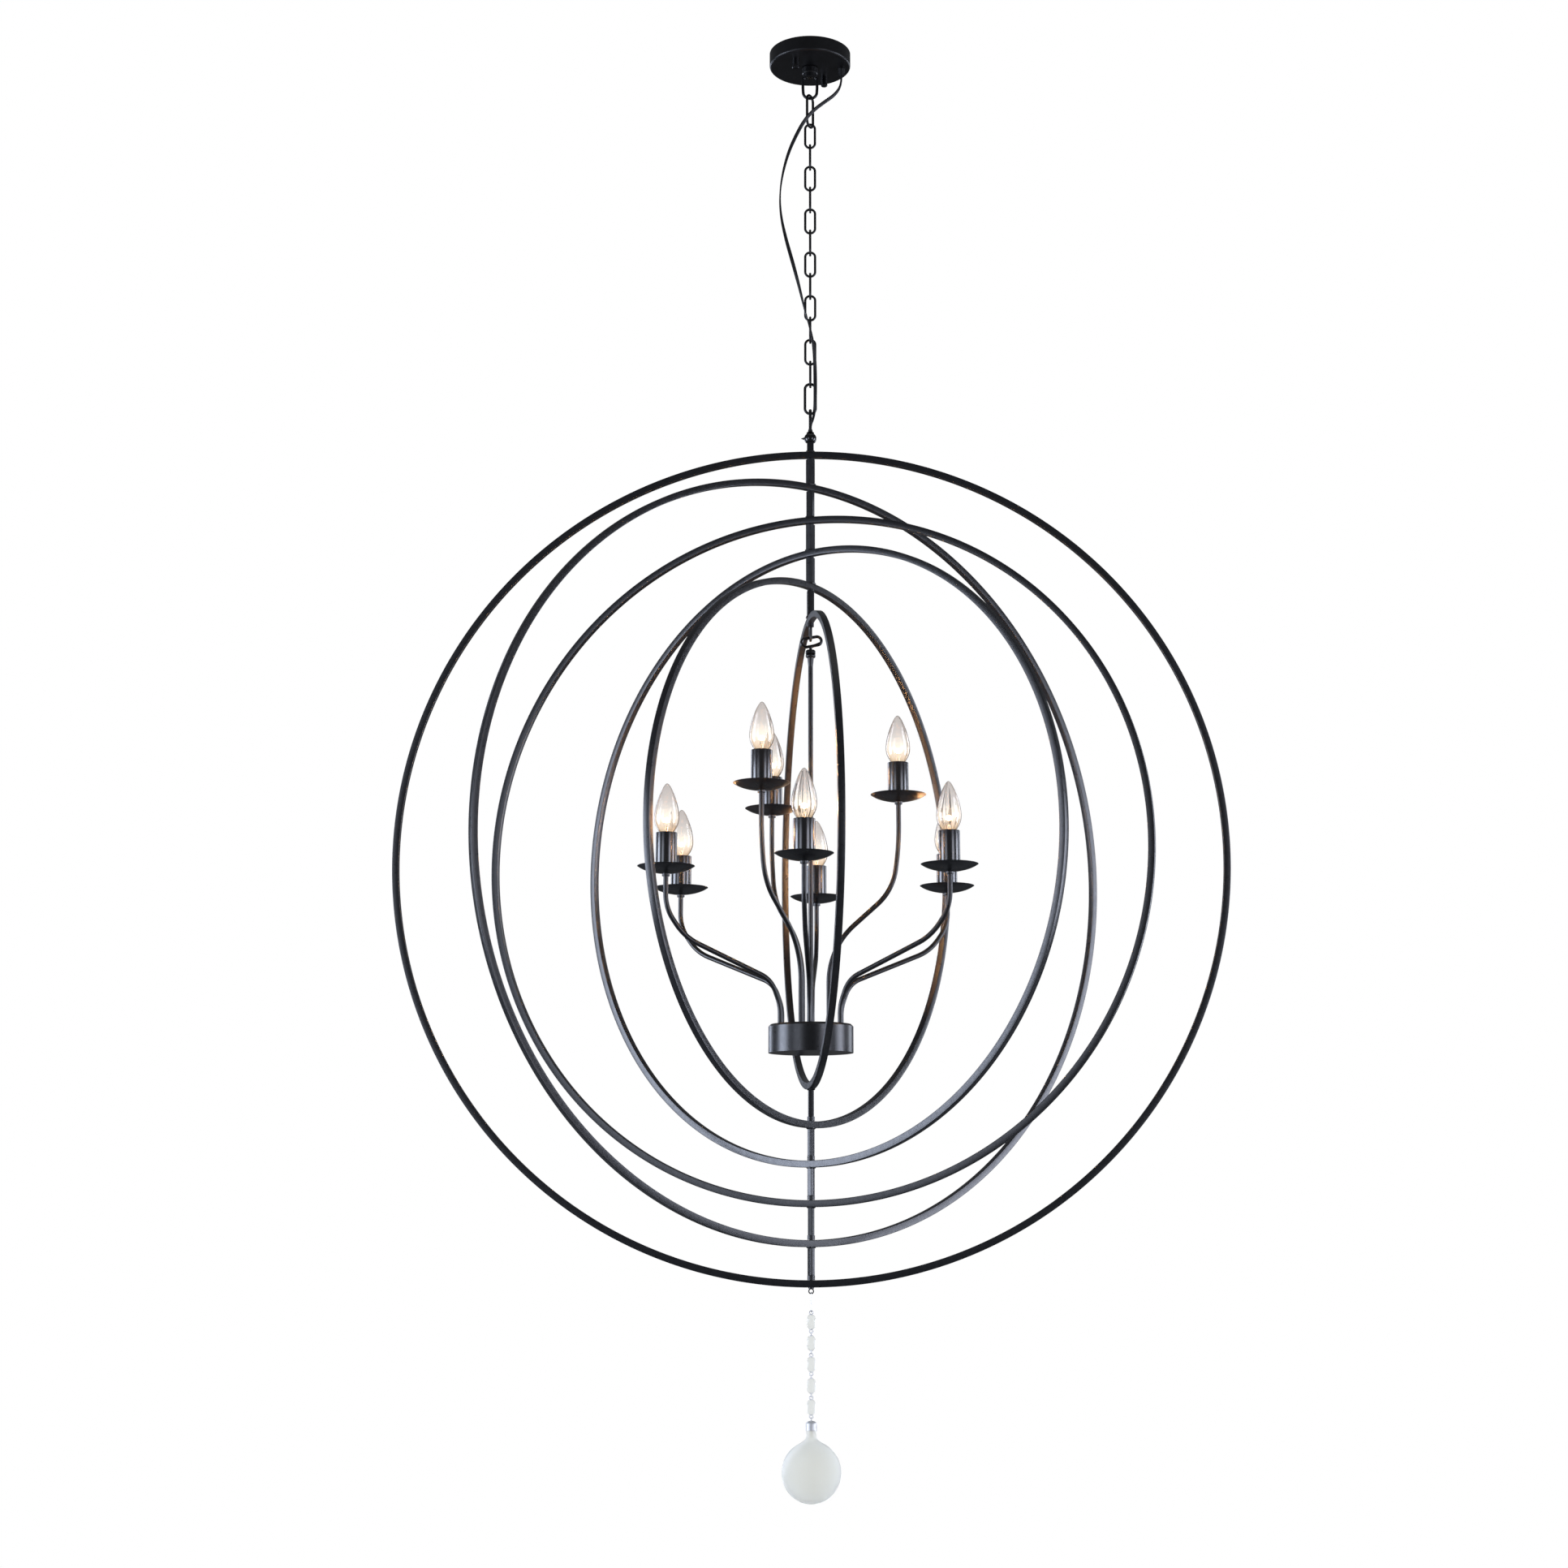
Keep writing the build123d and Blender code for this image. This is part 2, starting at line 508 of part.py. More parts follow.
for k in range(RING_COUNT):
    face = upright(RING_AZIMUTHS[k], ring_zs[k])
    turn = Plane.XY.rotated((0, 0, RING_AZIMUTHS[k]))
    outer_face_top = top_of(k) + RING_BAR / 2
    outer_face_bottom = bottom_of(k) - RING_BAR / 2
    if k == 0:
        strut_top = STUB_TOP_Z
    else:
        strut_top = top_of(k - 1) - RING_BAR / 2 - gap_under_bar
        strut_foot = bottom_of(k - 1) + RING_BAR / 2 + RUNNING_GAP + LOWER_COLLAR_HEIGHT
    with BuildPart() as ring:
        with BuildSketch(face):
            Circle(ring_radii[k] + RING_BAR / 2)
            Circle(ring_radii[k] - RING_BAR / 2, mode=Mode.SUBTRACT)
        extrude(amount=RING_BAR / 2, both=True)
        with BuildSketch(turn.offset(top_of(k))):
            Rectangle(TOP_STRUT, TOP_STRUT)
        extrude(amount=strut_top - top_of(k))
        with BuildSketch(turn.offset(outer_face_top)):
            Rectangle(strut_bore, strut_bore)
        extrude(amount=strut_top - outer_face_top, mode=Mode.SUBTRACT)
        with BuildSketch(turn.offset(top_of(k) - RING_BAR)):
            Circle(PIVOT_DIAMETER / 2 + PIVOT_PLAY)
        extrude(amount=2 * RING_BAR, mode=Mode.SUBTRACT)
        if k > 0:
            with BuildSketch(turn.offset(bottom_of(k))):
                Rectangle(BOTTOM_STRUT, BOTTOM_STRUT)
            extrude(amount=strut_foot - bottom_of(k))
            with BuildSketch(turn.offset(strut_foot)):
                Circle(LOWER_PIVOT_DIAMETER / 2 + PIVOT_PLAY)
            extrude(amount=PIVOT_PLUG_LENGTH, mode=Mode.SUBTRACT)
        if k < RING_COUNT - 1:
            with BuildSketch(turn.offset(outer_face_bottom)):
                Circle(LOWER_PIVOT_DIAMETER / 2 + PIVOT_PLAY)
            extrude(amount=2 * RING_BAR, mode=Mode.SUBTRACT)
    save(ring, f"ring_{k + 1}")

for k in range(1, RING_COUNT):
    bar_top = top_of(k - 1) + RING_BAR / 2
    flange_top = top_of(k - 1) - RING_BAR / 2 - RUNNING_GAP
    flange_bottom = flange_top - PIVOT_FLANGE_HEIGHT
    collar_bottom = bottom_of(k - 1) + RING_BAR / 2 + RUNNING_GAP
    collar_top = collar_bottom + LOWER_COLLAR_HEIGHT
    shank_bottom = bottom_of(k - 1) - RING_BAR / 2 + RUNNING_GAP
    if k == 1:
        shank_bottom = bottom_of(k - 1)
    with BuildPart() as pivots:
        with BuildSketch(Plane.XY.offset(bar_top + RUNNING_GAP)):
            Circle(PIVOT_HEAD_DIAMETER / 2)
        extrude(amount=PIVOT_HEAD_HEIGHT)
        with BuildSketch(Plane.XY.offset(flange_top)):
            Circle(PIVOT_DIAMETER / 2)
        extrude(amount=bar_top + RUNNING_GAP - flange_top)
        with BuildSketch(Plane.XY.offset(flange_bottom)):
            Circle(PIVOT_FLANGE_DIAMETER / 2)
        extrude(amount=PIVOT_FLANGE_HEIGHT)
        with BuildSketch(Plane.XY.offset(flange_bottom - PIVOT_PLUG_LENGTH)):
            Circle(strut_bore / 2 - PIVOT_PLAY)
        extrude(amount=PIVOT_PLUG_LENGTH)
        with BuildSketch(Plane.XY.offset(bar_top + RUNNING_GAP + PIVOT_HEAD_HEIGHT)):
            Circle(PIVOT_BORE / 2)
        extrude(amount=-2 * RING_BAR - 2 * PIVOT_PLUG_LENGTH, mode=Mode.SUBTRACT)
        with BuildSketch(Plane.XY.offset(collar_bottom)):
            Circle(LOWER_COLLAR_DIAMETER / 2)
        extrude(amount=LOWER_COLLAR_HEIGHT)
        with BuildSketch(Plane.XY.offset(shank_bottom)):
            Circle(LOWER_PIVOT_DIAMETER / 2)
        extrude(amount=collar_top + PIVOT_PLUG_LENGTH - RUNNING_GAP - shank_bottom)
    save(pivots, f"ring_{k + 1}_pivots")

# ---------------------------------------------------------------- hook and coupler over the cluster
inner_face_top = top_of(RING_COUNT - 1) - RING_BAR / 2
HOOK_FLANGE_HEIGHT = HOOK_WIRE / 2
hook_centre_z = inner_face_top - HOOK_FLANGE_HEIGHT - HOOK_LENGTH / 2
HOOK_BEND_Z = hook_centre_z - (HOOK_LENGTH - HOOK_WIRE) / 2

with BuildPart() as inner_hook:
    oval(upright(RING_AZIMUTHS[-1], hook_centre_z), HOOK_LENGTH, HOOK_WIDTH, HOOK_WIRE)
    with BuildSketch(Plane.XY.offset(inner_face_top - RUNNING_GAP / 2)):
        Circle(PIVOT_FLANGE_DIAMETER / 2)
    extrude(amount=-HOOK_SEAT_HEIGHT)
    with BuildSketch(Plane.XY.offset(inner_face_top - RUNNING_GAP)):
        Circle(PIVOT_DIAMETER / 2)
    extrude(amount=RING_BAR)
save(inner_hook, "inner_hook")

SHACKLE_Z = HOOK_BEND_Z + HOOK_WIRE / 2 + LINK_PLAY + SHACKLE_WIRE / 2
COUPLER_TOP = SHACKLE_Z - COUPLER_DROP
shackle_bend = (SHACKLE_HEIGHT - SHACKLE_WIRE) / 2
shackle_straight = (SHACKLE_LENGTH - SHACKLE_HEIGHT) / 2

# The shackle's own directions: along its tilted length, and across it, away from the hook.
shackle_plane = upright(RING_AZIMUTHS[-1] + 90, SHACKLE_Z)
tilt = radians(SHACKLE_TILT)
shackle_along = shackle_plane.x_dir * cos(tilt) + shackle_plane.y_dir * sin(tilt)
shackle_across = shackle_plane.x_dir * sin(tilt) - shackle_plane.y_dir * cos(tilt)
shackle_centre = shackle_plane.origin + shackle_across * shackle_bend
neck_side = (shackle_along + shackle_across) * shackle_bend * cos(pi / 4)
neck_top = shackle_centre + shackle_along * shackle_straight + neck_side

with BuildPart() as cluster_shackle:
    shackle_face = Plane(origin=shackle_centre, x_dir=shackle_across, z_dir=shackle_plane.z_dir)
    oval(shackle_face, SHACKLE_LENGTH, SHACKLE_HEIGHT, SHACKLE_WIRE)
    with BuildLine() as neck_path:
        neck_corner = (0, 0, COUPLER_TOP + SHACKLE_WIRE)
        FilletPolyline(neck_top, neck_corner, (0, 0, COUPLER_TOP), radius=SHACKLE_NECK_RADIUS)
    with BuildSketch(Plane(origin=neck_path.line @ 0, z_dir=neck_path.line % 0)):
        Circle(SHACKLE_WIRE / 2)
    sweep(path=neck_path.line)
save(cluster_shackle, "cluster_shackle")

COUPLER_BOTTOM = COUPLER_TOP - COUPLER_HEIGHT
with BuildPart() as rod_coupler:
    bead = COUPLER_HEIGHT / 2
    with BuildSketch(Plane.XY.offset(COUPLER_BOTTOM)):
        Circle(COUPLER_DIAMETER / 2)
    extrude(amount=bead)
    fillet(rod_coupler.edges(), COUPLER_EDGE_RADIUS)
    with BuildSketch(Plane.XY.offset(COUPLER_TOP)):
        Circle(COUPLER_DIAMETER / 2)
    extrude(amount=-bead)
    fillet(rod_coupler.edges().group_by(Axis.Z)[-1], COUPLER_EDGE_RADIUS)
save(rod_coupler, "rod_coupler")

# ---------------------------------------------------------------- candle cluster
with BuildPart() as centre_rod:
    with BuildSketch(Plane.XY.offset(COUPLER_BOTTOM)):
        Circle(ROD_CONE_DIAMETER / 2)
    with BuildSketch(Plane.XY.offset(COUPLER_BOTTOM - ROD_CONE_LENGTH)):
        Circle(ROD_DIAMETER / 2)
    loft(ruled=True)
    with BuildSketch(Plane.XY.offset(HUB_TOP)):
        Circle(ROD_DIAMETER / 2)
    extrude(amount=COUPLER_BOTTOM - ROD_CONE_LENGTH - HUB_TOP)
    with BuildSketch(Plane.XY.offset(HUB_TOP)):
        Circle(ROD_COLLAR_DIAMETER / 2)
    extrude(amount=ROD_COLLAR_HEIGHT)
save(centre_rod, "centre_rod")

with BuildPart() as hub_cup:
    with BuildSketch(Plane.XY.offset(HUB_TOP - HUB_HEIGHT)):
        Circle(HUB_DIAMETER / 2)
    extrude(amount=HUB_HEIGHT)
    chamfer(hub_cup.faces().sort_by(Axis.Z)[-1].edges(), HUB_CHAMFER)
    offset(amount=-HUB_WALL, openings=hub_cup.faces().sort_by(Axis.Z)[0])
save(hub_cup, "hub_cup")

with BuildPart() as hub_lid:
    with BuildSketch(Plane.XY.offset(HUB_TOP - HUB_HEIGHT)):
        Circle(HUB_DIAMETER / 2 - HUB_WALL - FIT_GAP)
    extrude(amount=HUB_LID_THICKNESS)
save(hub_lid, "hub_lid")


def arm_path(azimuth, foot_radius, radius, pan_z, bends):
    """A planar arm: up from the hub, out on a slope, and up to the pan. Bends are its corners."""
    collar_z = pan_z - PAN_DEPTH - PAN_COLLAR_HEIGHT
    corners = [(foot_radius, HUB_TOP), *bends, (radius, collar_z)]
    plane = upright(azimuth, 0)
    with BuildLine(plane) as path:
        FilletPolyline(*corners, radius=[corner_radius(corners, n) for n in range(1, len(corners) - 1)])
    return path.line


def corner_radius(points, n, share=0.45):
    """The largest fillet that the shorter run beside a corner leaves room for."""
    before = Vector(*points[n]) - Vector(*points[n - 1])
    after = Vector(*points[n + 1]) - Vector(*points[n])
    half_turn = radians(before.get_angle(after)) / 2
    return share * min(before.length, after.length) / tan(half_turn)


LOWER_BENDS = [
    (LOWER_FOOT_RADIUS, HUB_TOP + LOWER_ARM_FOOT_RISE),
    (LOWER_FOOT_RADIUS + LOWER_ARM_FLARE_OUT, HUB_TOP + LOWER_ARM_FLARE_RISE),
    (LOWER_RADIUS - LOWER_ARM_SLOPE_IN, LOWER_PAN_Z - LOWER_ARM_SLOPE_DROP),
    (LOWER_RADIUS, LOWER_PAN_Z - LOWER_ARM_TOP_DROP),
]
UPPER_BENDS = [
    (UPPER_FOOT_RADIUS, HUB_TOP + UPPER_ARM_FOOT_RISE),
    (UPPER_RADIUS - UPPER_ARM_SLOPE_IN, UPPER_PAN_Z - UPPER_ARM_SLOPE_DROP),
    (UPPER_RADIUS, UPPER_PAN_Z - UPPER_ARM_TOP_DROP),
]
lower_azimuths = [360 / LOWER_COUNT * (n + 1 / 2) + LOWER_TURN for n in range(LOWER_COUNT)]
upper_azimuths = [360 / UPPER_COUNT * n + UPPER_TURN for n in range(UPPER_COUNT)]

with BuildPart() as lower_arms:
    for azimuth in lower_azimuths:
        arm = arm_path(azimuth, LOWER_FOOT_RADIUS, LOWER_RADIUS, LOWER_PAN_Z, LOWER_BENDS)
        with BuildSketch(Plane(origin=arm @ 0, z_dir=arm % 0)):
            Circle(ARM_DIAMETER / 2)
        sweep(path=arm)
save(lower_arms, "lower_arms")

with BuildPart() as upper_arms:
    for azimuth in upper_azimuths:
        arm = arm_path(azimuth, UPPER_FOOT_RADIUS, UPPER_RADIUS, UPPER_PAN_Z, UPPER_BENDS)
        with BuildSketch(Plane(origin=arm @ 0, z_dir=arm % 0)):
            Circle(ARM_DIAMETER / 2)
        sweep(path=arm)
save(upper_arms, "upper_arms")

candle_places = []
for azimuth in lower_azimuths:
    tier = upright(azimuth, LOWER_PAN_Z)
    candle_places.append(tier.origin + tier.x_dir * LOWER_RADIUS)
for azimuth in upper_azimuths:
    tier = upright(azimuth, UPPER_PAN_Z)
    candle_places.append(tier.origin + tier.x_dir * UPPER_RADIUS)
dish_radius = PAN_DIAMETER / 2
seat_z = -PAN_SEAT_DEPTH
collar_z = -PAN_DEPTH - PAN_COLLAR_HEIGHT
socket_foot = -PAN_DEPTH + PAN_WALL
bulb_foot = socket_foot + SOCKET_HEIGHT - SOCKET_BORE_DEPTH + RUNNING_GAP

# One candle is drawn about its own axis with its pan's rim at zero, then set out at every place.
with BuildPart() as one_pan:
    with BuildSketch(upright(0, 0)):
        with BuildLine():
            collar = PAN_COLLAR_DIAMETER / 2
            floor_radius = SLEEVE_DIAMETER / 2 + PAN_WALL
            shelf = SLEEVE_DIAMETER / 2 - 2 * SLEEVE_WALL
            under = (floor_radius + dish_radius) / 2
            rim = dish_radius - PAN_WALL
            Polyline((0, socket_foot), (0, collar_z), (collar, collar_z), (collar, -PAN_DEPTH))
            Line((collar, -PAN_DEPTH), (collar + PAN_WALL, -PAN_DEPTH))
            ThreePointArc((collar + PAN_WALL, -PAN_DEPTH), (under, -PAN_CURVE_DEPTH), (dish_radius, 0))
            Line((dish_radius, 0), (rim, 0))
            ThreePointArc((rim, 0), (under - PAN_WALL, PAN_WALL - PAN_CURVE_DEPTH), (floor_radius, seat_z))
            Polyline((floor_radius, seat_z), (shelf, seat_z), (shelf, socket_foot), (0, socket_foot))
        make_face()
    revolve(axis=Axis.Z)

with BuildPart() as one_sleeve:
    with BuildSketch(Plane.XY.offset(seat_z + RUNNING_GAP)):
        Circle(SLEEVE_DIAMETER / 2)
        Circle(SLEEVE_DIAMETER / 2 - SLEEVE_WALL, mode=Mode.SUBTRACT)
    extrude(amount=SLEEVE_TOP_OVER_RIM - seat_z - RUNNING_GAP)

with BuildPart() as one_socket:
    with BuildSketch(Plane.XY.offset(socket_foot)):
        Circle(SOCKET_DIAMETER / 2)
    extrude(amount=SOCKET_HEIGHT)
    with BuildSketch(Plane.XY.offset(socket_foot + SOCKET_HEIGHT)):
        Circle(SOCKET_BORE / 2)
    extrude(amount=-SOCKET_BORE_DEPTH, mode=Mode.SUBTRACT)

with BuildPart() as one_bulb:
    with BuildSketch(upright(0, 0)):
        with BuildLine():
            neck = BULB_BASE_DIAMETER / 2
            belly = BULB_DIAMETER / 2
            neck_z = bulb_foot + BULB_BASE_LENGTH
            belly_z = neck_z + BULB_BELLY_RISE
            Polyline((0, BULB_TIP_OVER_RIM), (0, bulb_foot), (neck, bulb_foot), (neck, neck_z))
            Bezier(
                (neck, neck_z),
                (neck, neck_z + BULB_NECK_PULL),
                (belly, belly_z - BULB_BELLY_PULL),
                (belly, belly_z),
            )
            Bezier(
                (belly, belly_z),
                (belly, belly_z + BULB_SHOULDER_PULL),
                (BULB_TAPER_RADIUS, BULB_TIP_OVER_RIM - BULB_TAPER_DROP),
                (BULB_TIP_RADIUS, BULB_TIP_OVER_RIM),
                (0, BULB_TIP_OVER_RIM),
            )
        make_face()
    revolve(axis=Axis.Z)

candle_parts = {
    "drip_pans": one_pan,
    "candle_sleeves": one_sleeve,
    "lampholders": one_socket,
    "bulbs": one_bulb,
}
for name, one in candle_parts.items():
    with BuildPart() as group:
        with Locations(*candle_places):
            add(one.part)
    save(group, name)

# ---------------------------------------------------------------- bead string and ball
rim_bottom = bottom_of(0) - RING_BAR / 2
eye_bend = (EYELET_DIAMETER - EYELET_WIRE) / 2
EYELET_FLANGE_HEIGHT = EYELET_WIRE
eyelet_centre_z = rim_bottom - EYELET_FLANGE_HEIGHT - eye_bend


def ring_eye(plane, diameter, wire):
    """Turns a round wire eye about the plane's z."""
    side = plane.origin + plane.x_dir * (diameter - wire) / 2
    with BuildSketch(Plane(origin=side, x_dir=plane.x_dir, z_dir=-plane.y_dir)) as section:
        Circle(wire / 2)
    revolve(section.sketch, axis=Axis(plane.origin, plane.z_dir))


with BuildPart() as bottom_eyelet:
    ring_eye(upright(0, eyelet_centre_z), EYELET_DIAMETER, EYELET_WIRE)
    with BuildSketch(Plane.XY.offset(rim_bottom - EYELET_FLANGE_HEIGHT)):
        Circle(EYELET_FLANGE_DIAMETER / 2)
    extrude(amount=EYELET_FLANGE_HEIGHT)
    with BuildSketch(Plane.XY.offset(rim_bottom)):
        Circle(LOWER_PIVOT_DIAMETER / 2)
    extrude(amount=RING_BAR / 2 - RUNNING_GAP)
save(bottom_eyelet, "bottom_eyelet")

bead_pivots = [eyelet_centre_z - eye_bend]
with BuildPart() as bead_hook:
    hook_top = bead_pivots[-1] + EYELET_WIRE / 2 + PIN_PLAY + PIN_WIRE / 2
    hook_middle = hook_top - (HOOK_LINK_LENGTH - PIN_WIRE) / 2
    oval(upright(90, hook_middle), HOOK_LINK_LENGTH, PIN_EYE_DIAMETER, PIN_WIRE)
save(bead_hook, "bead_hook")
bead_pivots.append(hook_top - HOOK_LINK_LENGTH + PIN_WIRE)

pin_bend = (PIN_EYE_DIAMETER - PIN_WIRE) / 2
eye_to_eye = BEAD_PITCH + PIN_WIRE + PIN_PLAY
for n in range(BEAD_COUNT):
    azimuth = 0 if n % 2 == 0 else 90
    eye_top = bead_pivots[-1] + PIN_WIRE + PIN_PLAY
    bead_z = eye_top - eye_to_eye / 2
    with BuildPart() as bead:
        with BuildSketch(Plane.XY.offset(bead_z)):
            RegularPolygon(BEAD_DIAMETER / 2, BEAD_FACETS)
        extrude(amount=BEAD_BAND_HEIGHT / 2, both=True)
        for side in (-1, 1):
            with BuildSketch(Plane.XY.offset(bead_z + side * BEAD_BAND_HEIGHT / 2)):
                RegularPolygon(BEAD_DIAMETER / 2, BEAD_FACETS)
            with BuildSketch(Plane.XY.offset(bead_z + side * BEAD_SHOULDER_HEIGHT / 2)):
                RegularPolygon(BEAD_SHOULDER_DIAMETER / 2, BEAD_FACETS)
            with BuildSketch(Plane.XY.offset(bead_z + side * BEAD_LENGTH / 2)):
                RegularPolygon(BEAD_END_DIAMETER / 2, BEAD_FACETS)
            loft(ruled=True)
        with BuildSketch(Plane.XY.offset(bead_z - BEAD_LENGTH / 2)):
            Circle(PIN_WIRE / 2 + FIT_GAP)
        extrude(amount=BEAD_LENGTH, mode=Mode.SUBTRACT)
        upper_eye_z = eye_top - pin_bend
        lower_eye_z = eye_top - eye_to_eye + pin_bend
        ring_eye(upright(azimuth, upper_eye_z), PIN_EYE_DIAMETER, PIN_WIRE)
        ring_eye(upright(azimuth, lower_eye_z), PIN_EYE_DIAMETER, PIN_WIRE)
        with BuildSketch(Plane.XY.offset(lower_eye_z + pin_bend)):
            Circle(PIN_WIRE / 2)
        extrude(amount=upper_eye_z - lower_eye_z - 2 * pin_bend)
    save(bead, f"bead_{n + 1}")
    bead_pivots.append(eye_top - eye_to_eye)

cap_azimuth = 0 if BEAD_COUNT % 2 == 0 else 90
cap_eye_top = bead_pivots[-1] + PIN_WIRE + PIN_PLAY
cap_top = cap_eye_top - 2 * pin_bend
with BuildPart() as ball_cap:
    with BuildSketch(Plane.XY.offset(cap_top - BALL_CAP_HEIGHT)):
        Circle(BALL_CAP_DIAMETER / 2)
    extrude(amount=BALL_CAP_HEIGHT)
    fillet(ball_cap.faces().sort_by(Axis.Z)[-1].edges(), BALL_CAP_EDGE_RADIUS)
    with BuildSketch(Plane.XY.offset(cap_top - BALL_CAP_HEIGHT)):
        Circle(BALL_NECK_DIAMETER / 2 + FIT_GAP)
    extrude(amount=BALL_CAP_HEIGHT - BALL_CAP_CROWN, mode=Mode.SUBTRACT)
    ring_eye(upright(cap_azimuth, cap_eye_top - pin_bend), PIN_EYE_DIAMETER, PIN_WIRE)
save(ball_cap, "ball_cap")

neck_top = cap_top - BALL_CAP_CROWN
neck_meets = sqrt((BALL_DIAMETER / 2) ** 2 - (BALL_NECK_DIAMETER / 2) ** 2)
ball_z = cap_top - BALL_CAP_HEIGHT - BALL_NECK_LENGTH - neck_meets
with BuildPart() as glass_ball:
    with BuildSketch(Plane.XY.offset(ball_z)):
        Circle(BALL_NECK_DIAMETER / 2)
    extrude(amount=neck_top - ball_z)
    ball_plane = upright(0, ball_z)
    with BuildSketch(ball_plane):
        Circle(BALL_DIAMETER / 2)
        Rectangle(BALL_DIAMETER, 2 * BALL_DIAMETER, align=(Align.MAX, Align.CENTER), mode=Mode.SUBTRACT)
    revolve(axis=Axis.Z)
    inner = BALL_DIAMETER / 2 - BALL_WALL
    with BuildSketch(ball_plane):
        Circle(inner)
        Rectangle(BALL_DIAMETER, 2 * BALL_DIAMETER, align=(Align.MAX, Align.CENTER), mode=Mode.SUBTRACT)
    revolve(axis=Axis.Z, mode=Mode.SUBTRACT)
    with BuildSketch(Plane.XY.offset(ball_z)):
        Circle(BALL_NECK_DIAMETER / 2 - BALL_WALL)
    extrude(amount=neck_top - ball_z, mode=Mode.SUBTRACT)
save(glass_ball, "glass_ball")

# ---------------------------------------------------------------- supply cord
cord_start = (GLAND_RADIUS_AT, 0, GLAND_TIP_Z)
cord_end = (0, 0, STEM_BOSS_Z - CORD_SEAT_DEPTH)
cord_points = [cord_start, *CORD_ROUTE, cord_end]
cord_radii = [corner_radius(cord_points, n) for n in range(1, len(cord_points) - 1)]

with BuildPart() as supply_cord:
    with BuildLine() as cord_path:
        FilletPolyline(*cord_points, radius=cord_radii)
    with BuildSketch(Plane(origin=cord_path.line @ 0, z_dir=cord_path.line % 0)):
        Circle(CORD_DIAMETER / 2)
    sweep(path=cord_path.line)
save(supply_cord, "supply_cord")

section_area = pi * CORD_DIAMETER**2 / 4
cord_length = sum(edge.length for edge in cord_path.line.edges())
print("cord length", round(cord_length, 1), "mm")
print("cord volume over section times length", round(supply_cord.part.volume / section_area / cord_length, 4))
print("cord bend radii", [round(r) for r in cord_radii], "mm")

# ---------------------------------------------------------------- places for the joints
print("canopy loop bend", round(LOOP_BEND_Z, 3), "link pivots", [round(z, 3) for z in pivot_zs])
print("stem ball", round(STEM_BALL_Z, 2), "ring centre", round(RING_1_Z, 2), "hub top", round(HUB_TOP, 2))
print("hook bend", round(HOOK_BEND_Z, 3), "bead pivots", [round(z, 3) for z in bead_pivots])
print("ball", round(ball_z, 2), "bottom", round(ball_z - BALL_DIAMETER / 2, 2))
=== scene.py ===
"""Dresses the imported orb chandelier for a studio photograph.

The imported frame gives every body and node. This script keeps the turned and bent parts whose shape
is right, gives each a coat of its own, and redraws the rest as parametric surfaces: the square-bar
rings with their welded struts, the stem's eye, the candles, the bulbs, the bead string, the ball
and the cord.
Lengths are in millimetres until they reach a mesh, which is in metres, in the frame of the model.
"""

import json
import logging
import math
from collections.abc import Iterable, Sequence
from dataclasses import dataclass
from enum import Enum

import bmesh
import bpy
import numpy as np
from mathutils import Euler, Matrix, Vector


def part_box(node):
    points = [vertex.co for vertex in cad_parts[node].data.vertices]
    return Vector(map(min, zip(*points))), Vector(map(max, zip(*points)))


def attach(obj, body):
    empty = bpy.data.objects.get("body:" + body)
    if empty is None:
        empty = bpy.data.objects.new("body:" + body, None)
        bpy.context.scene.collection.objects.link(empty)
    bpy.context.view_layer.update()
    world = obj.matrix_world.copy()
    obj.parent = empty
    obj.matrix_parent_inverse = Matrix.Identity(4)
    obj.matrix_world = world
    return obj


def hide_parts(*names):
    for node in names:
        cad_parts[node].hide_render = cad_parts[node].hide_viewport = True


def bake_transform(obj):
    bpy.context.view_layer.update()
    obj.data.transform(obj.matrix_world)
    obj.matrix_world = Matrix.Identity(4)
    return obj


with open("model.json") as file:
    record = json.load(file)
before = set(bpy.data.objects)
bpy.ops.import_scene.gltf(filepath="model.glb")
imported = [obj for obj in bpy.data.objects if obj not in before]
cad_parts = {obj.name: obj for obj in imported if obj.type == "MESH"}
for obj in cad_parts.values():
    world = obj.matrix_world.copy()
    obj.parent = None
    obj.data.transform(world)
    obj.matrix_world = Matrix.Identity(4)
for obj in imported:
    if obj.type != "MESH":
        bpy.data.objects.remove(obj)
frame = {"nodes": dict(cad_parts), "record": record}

LOG = logging.getLogger("orb_chandelier")
MM = 0.001
WELD_GAP_MM = 0.01
SHARP_DEGREES = 38
# A profile's point on the axis stands this far off it, and the weld closes the pole.
AXIS = 0.01
UP = np.array([0.0, 0.0, 1.0])

Colour = tuple[float, float, float, float]
Point = tuple[float, float, float]
Tree = bpy.types.NodeTree
Socket = bpy.types.NodeSocket

WHITE: Colour = (1.0, 1.0, 1.0, 1.0)
BLACK: Colour = (0.0, 0.0, 0.0, 1.0)
# Between these two values lies most of a noise.
NOISE_SPREAD = (0.3, 0.7)


class Body(Enum):
    """Bodies of the frame that new pieces ride on."""

    CANOPY = "canopy"
    STEM = "stem"
    CLUSTER = "cluster"
    BALL = "ball"


class Slot(Enum):
    """Material slots of the record."""

    BLACK_METAL = "black_metal"
    PLATED_STEEL = "plated_steel"
    BLACK_CORD = "black_cord"
    BLACK_PLASTIC = "black_plastic"
    CLEAR_GLASS = "clear_glass"
    BRIGHT_METAL = "bright_metal"
    FROSTED_GLASS = "frosted_glass"
    SLEEVE_BLACK = "sleeve_black"


# ---------------------------------------------------------------- shaders


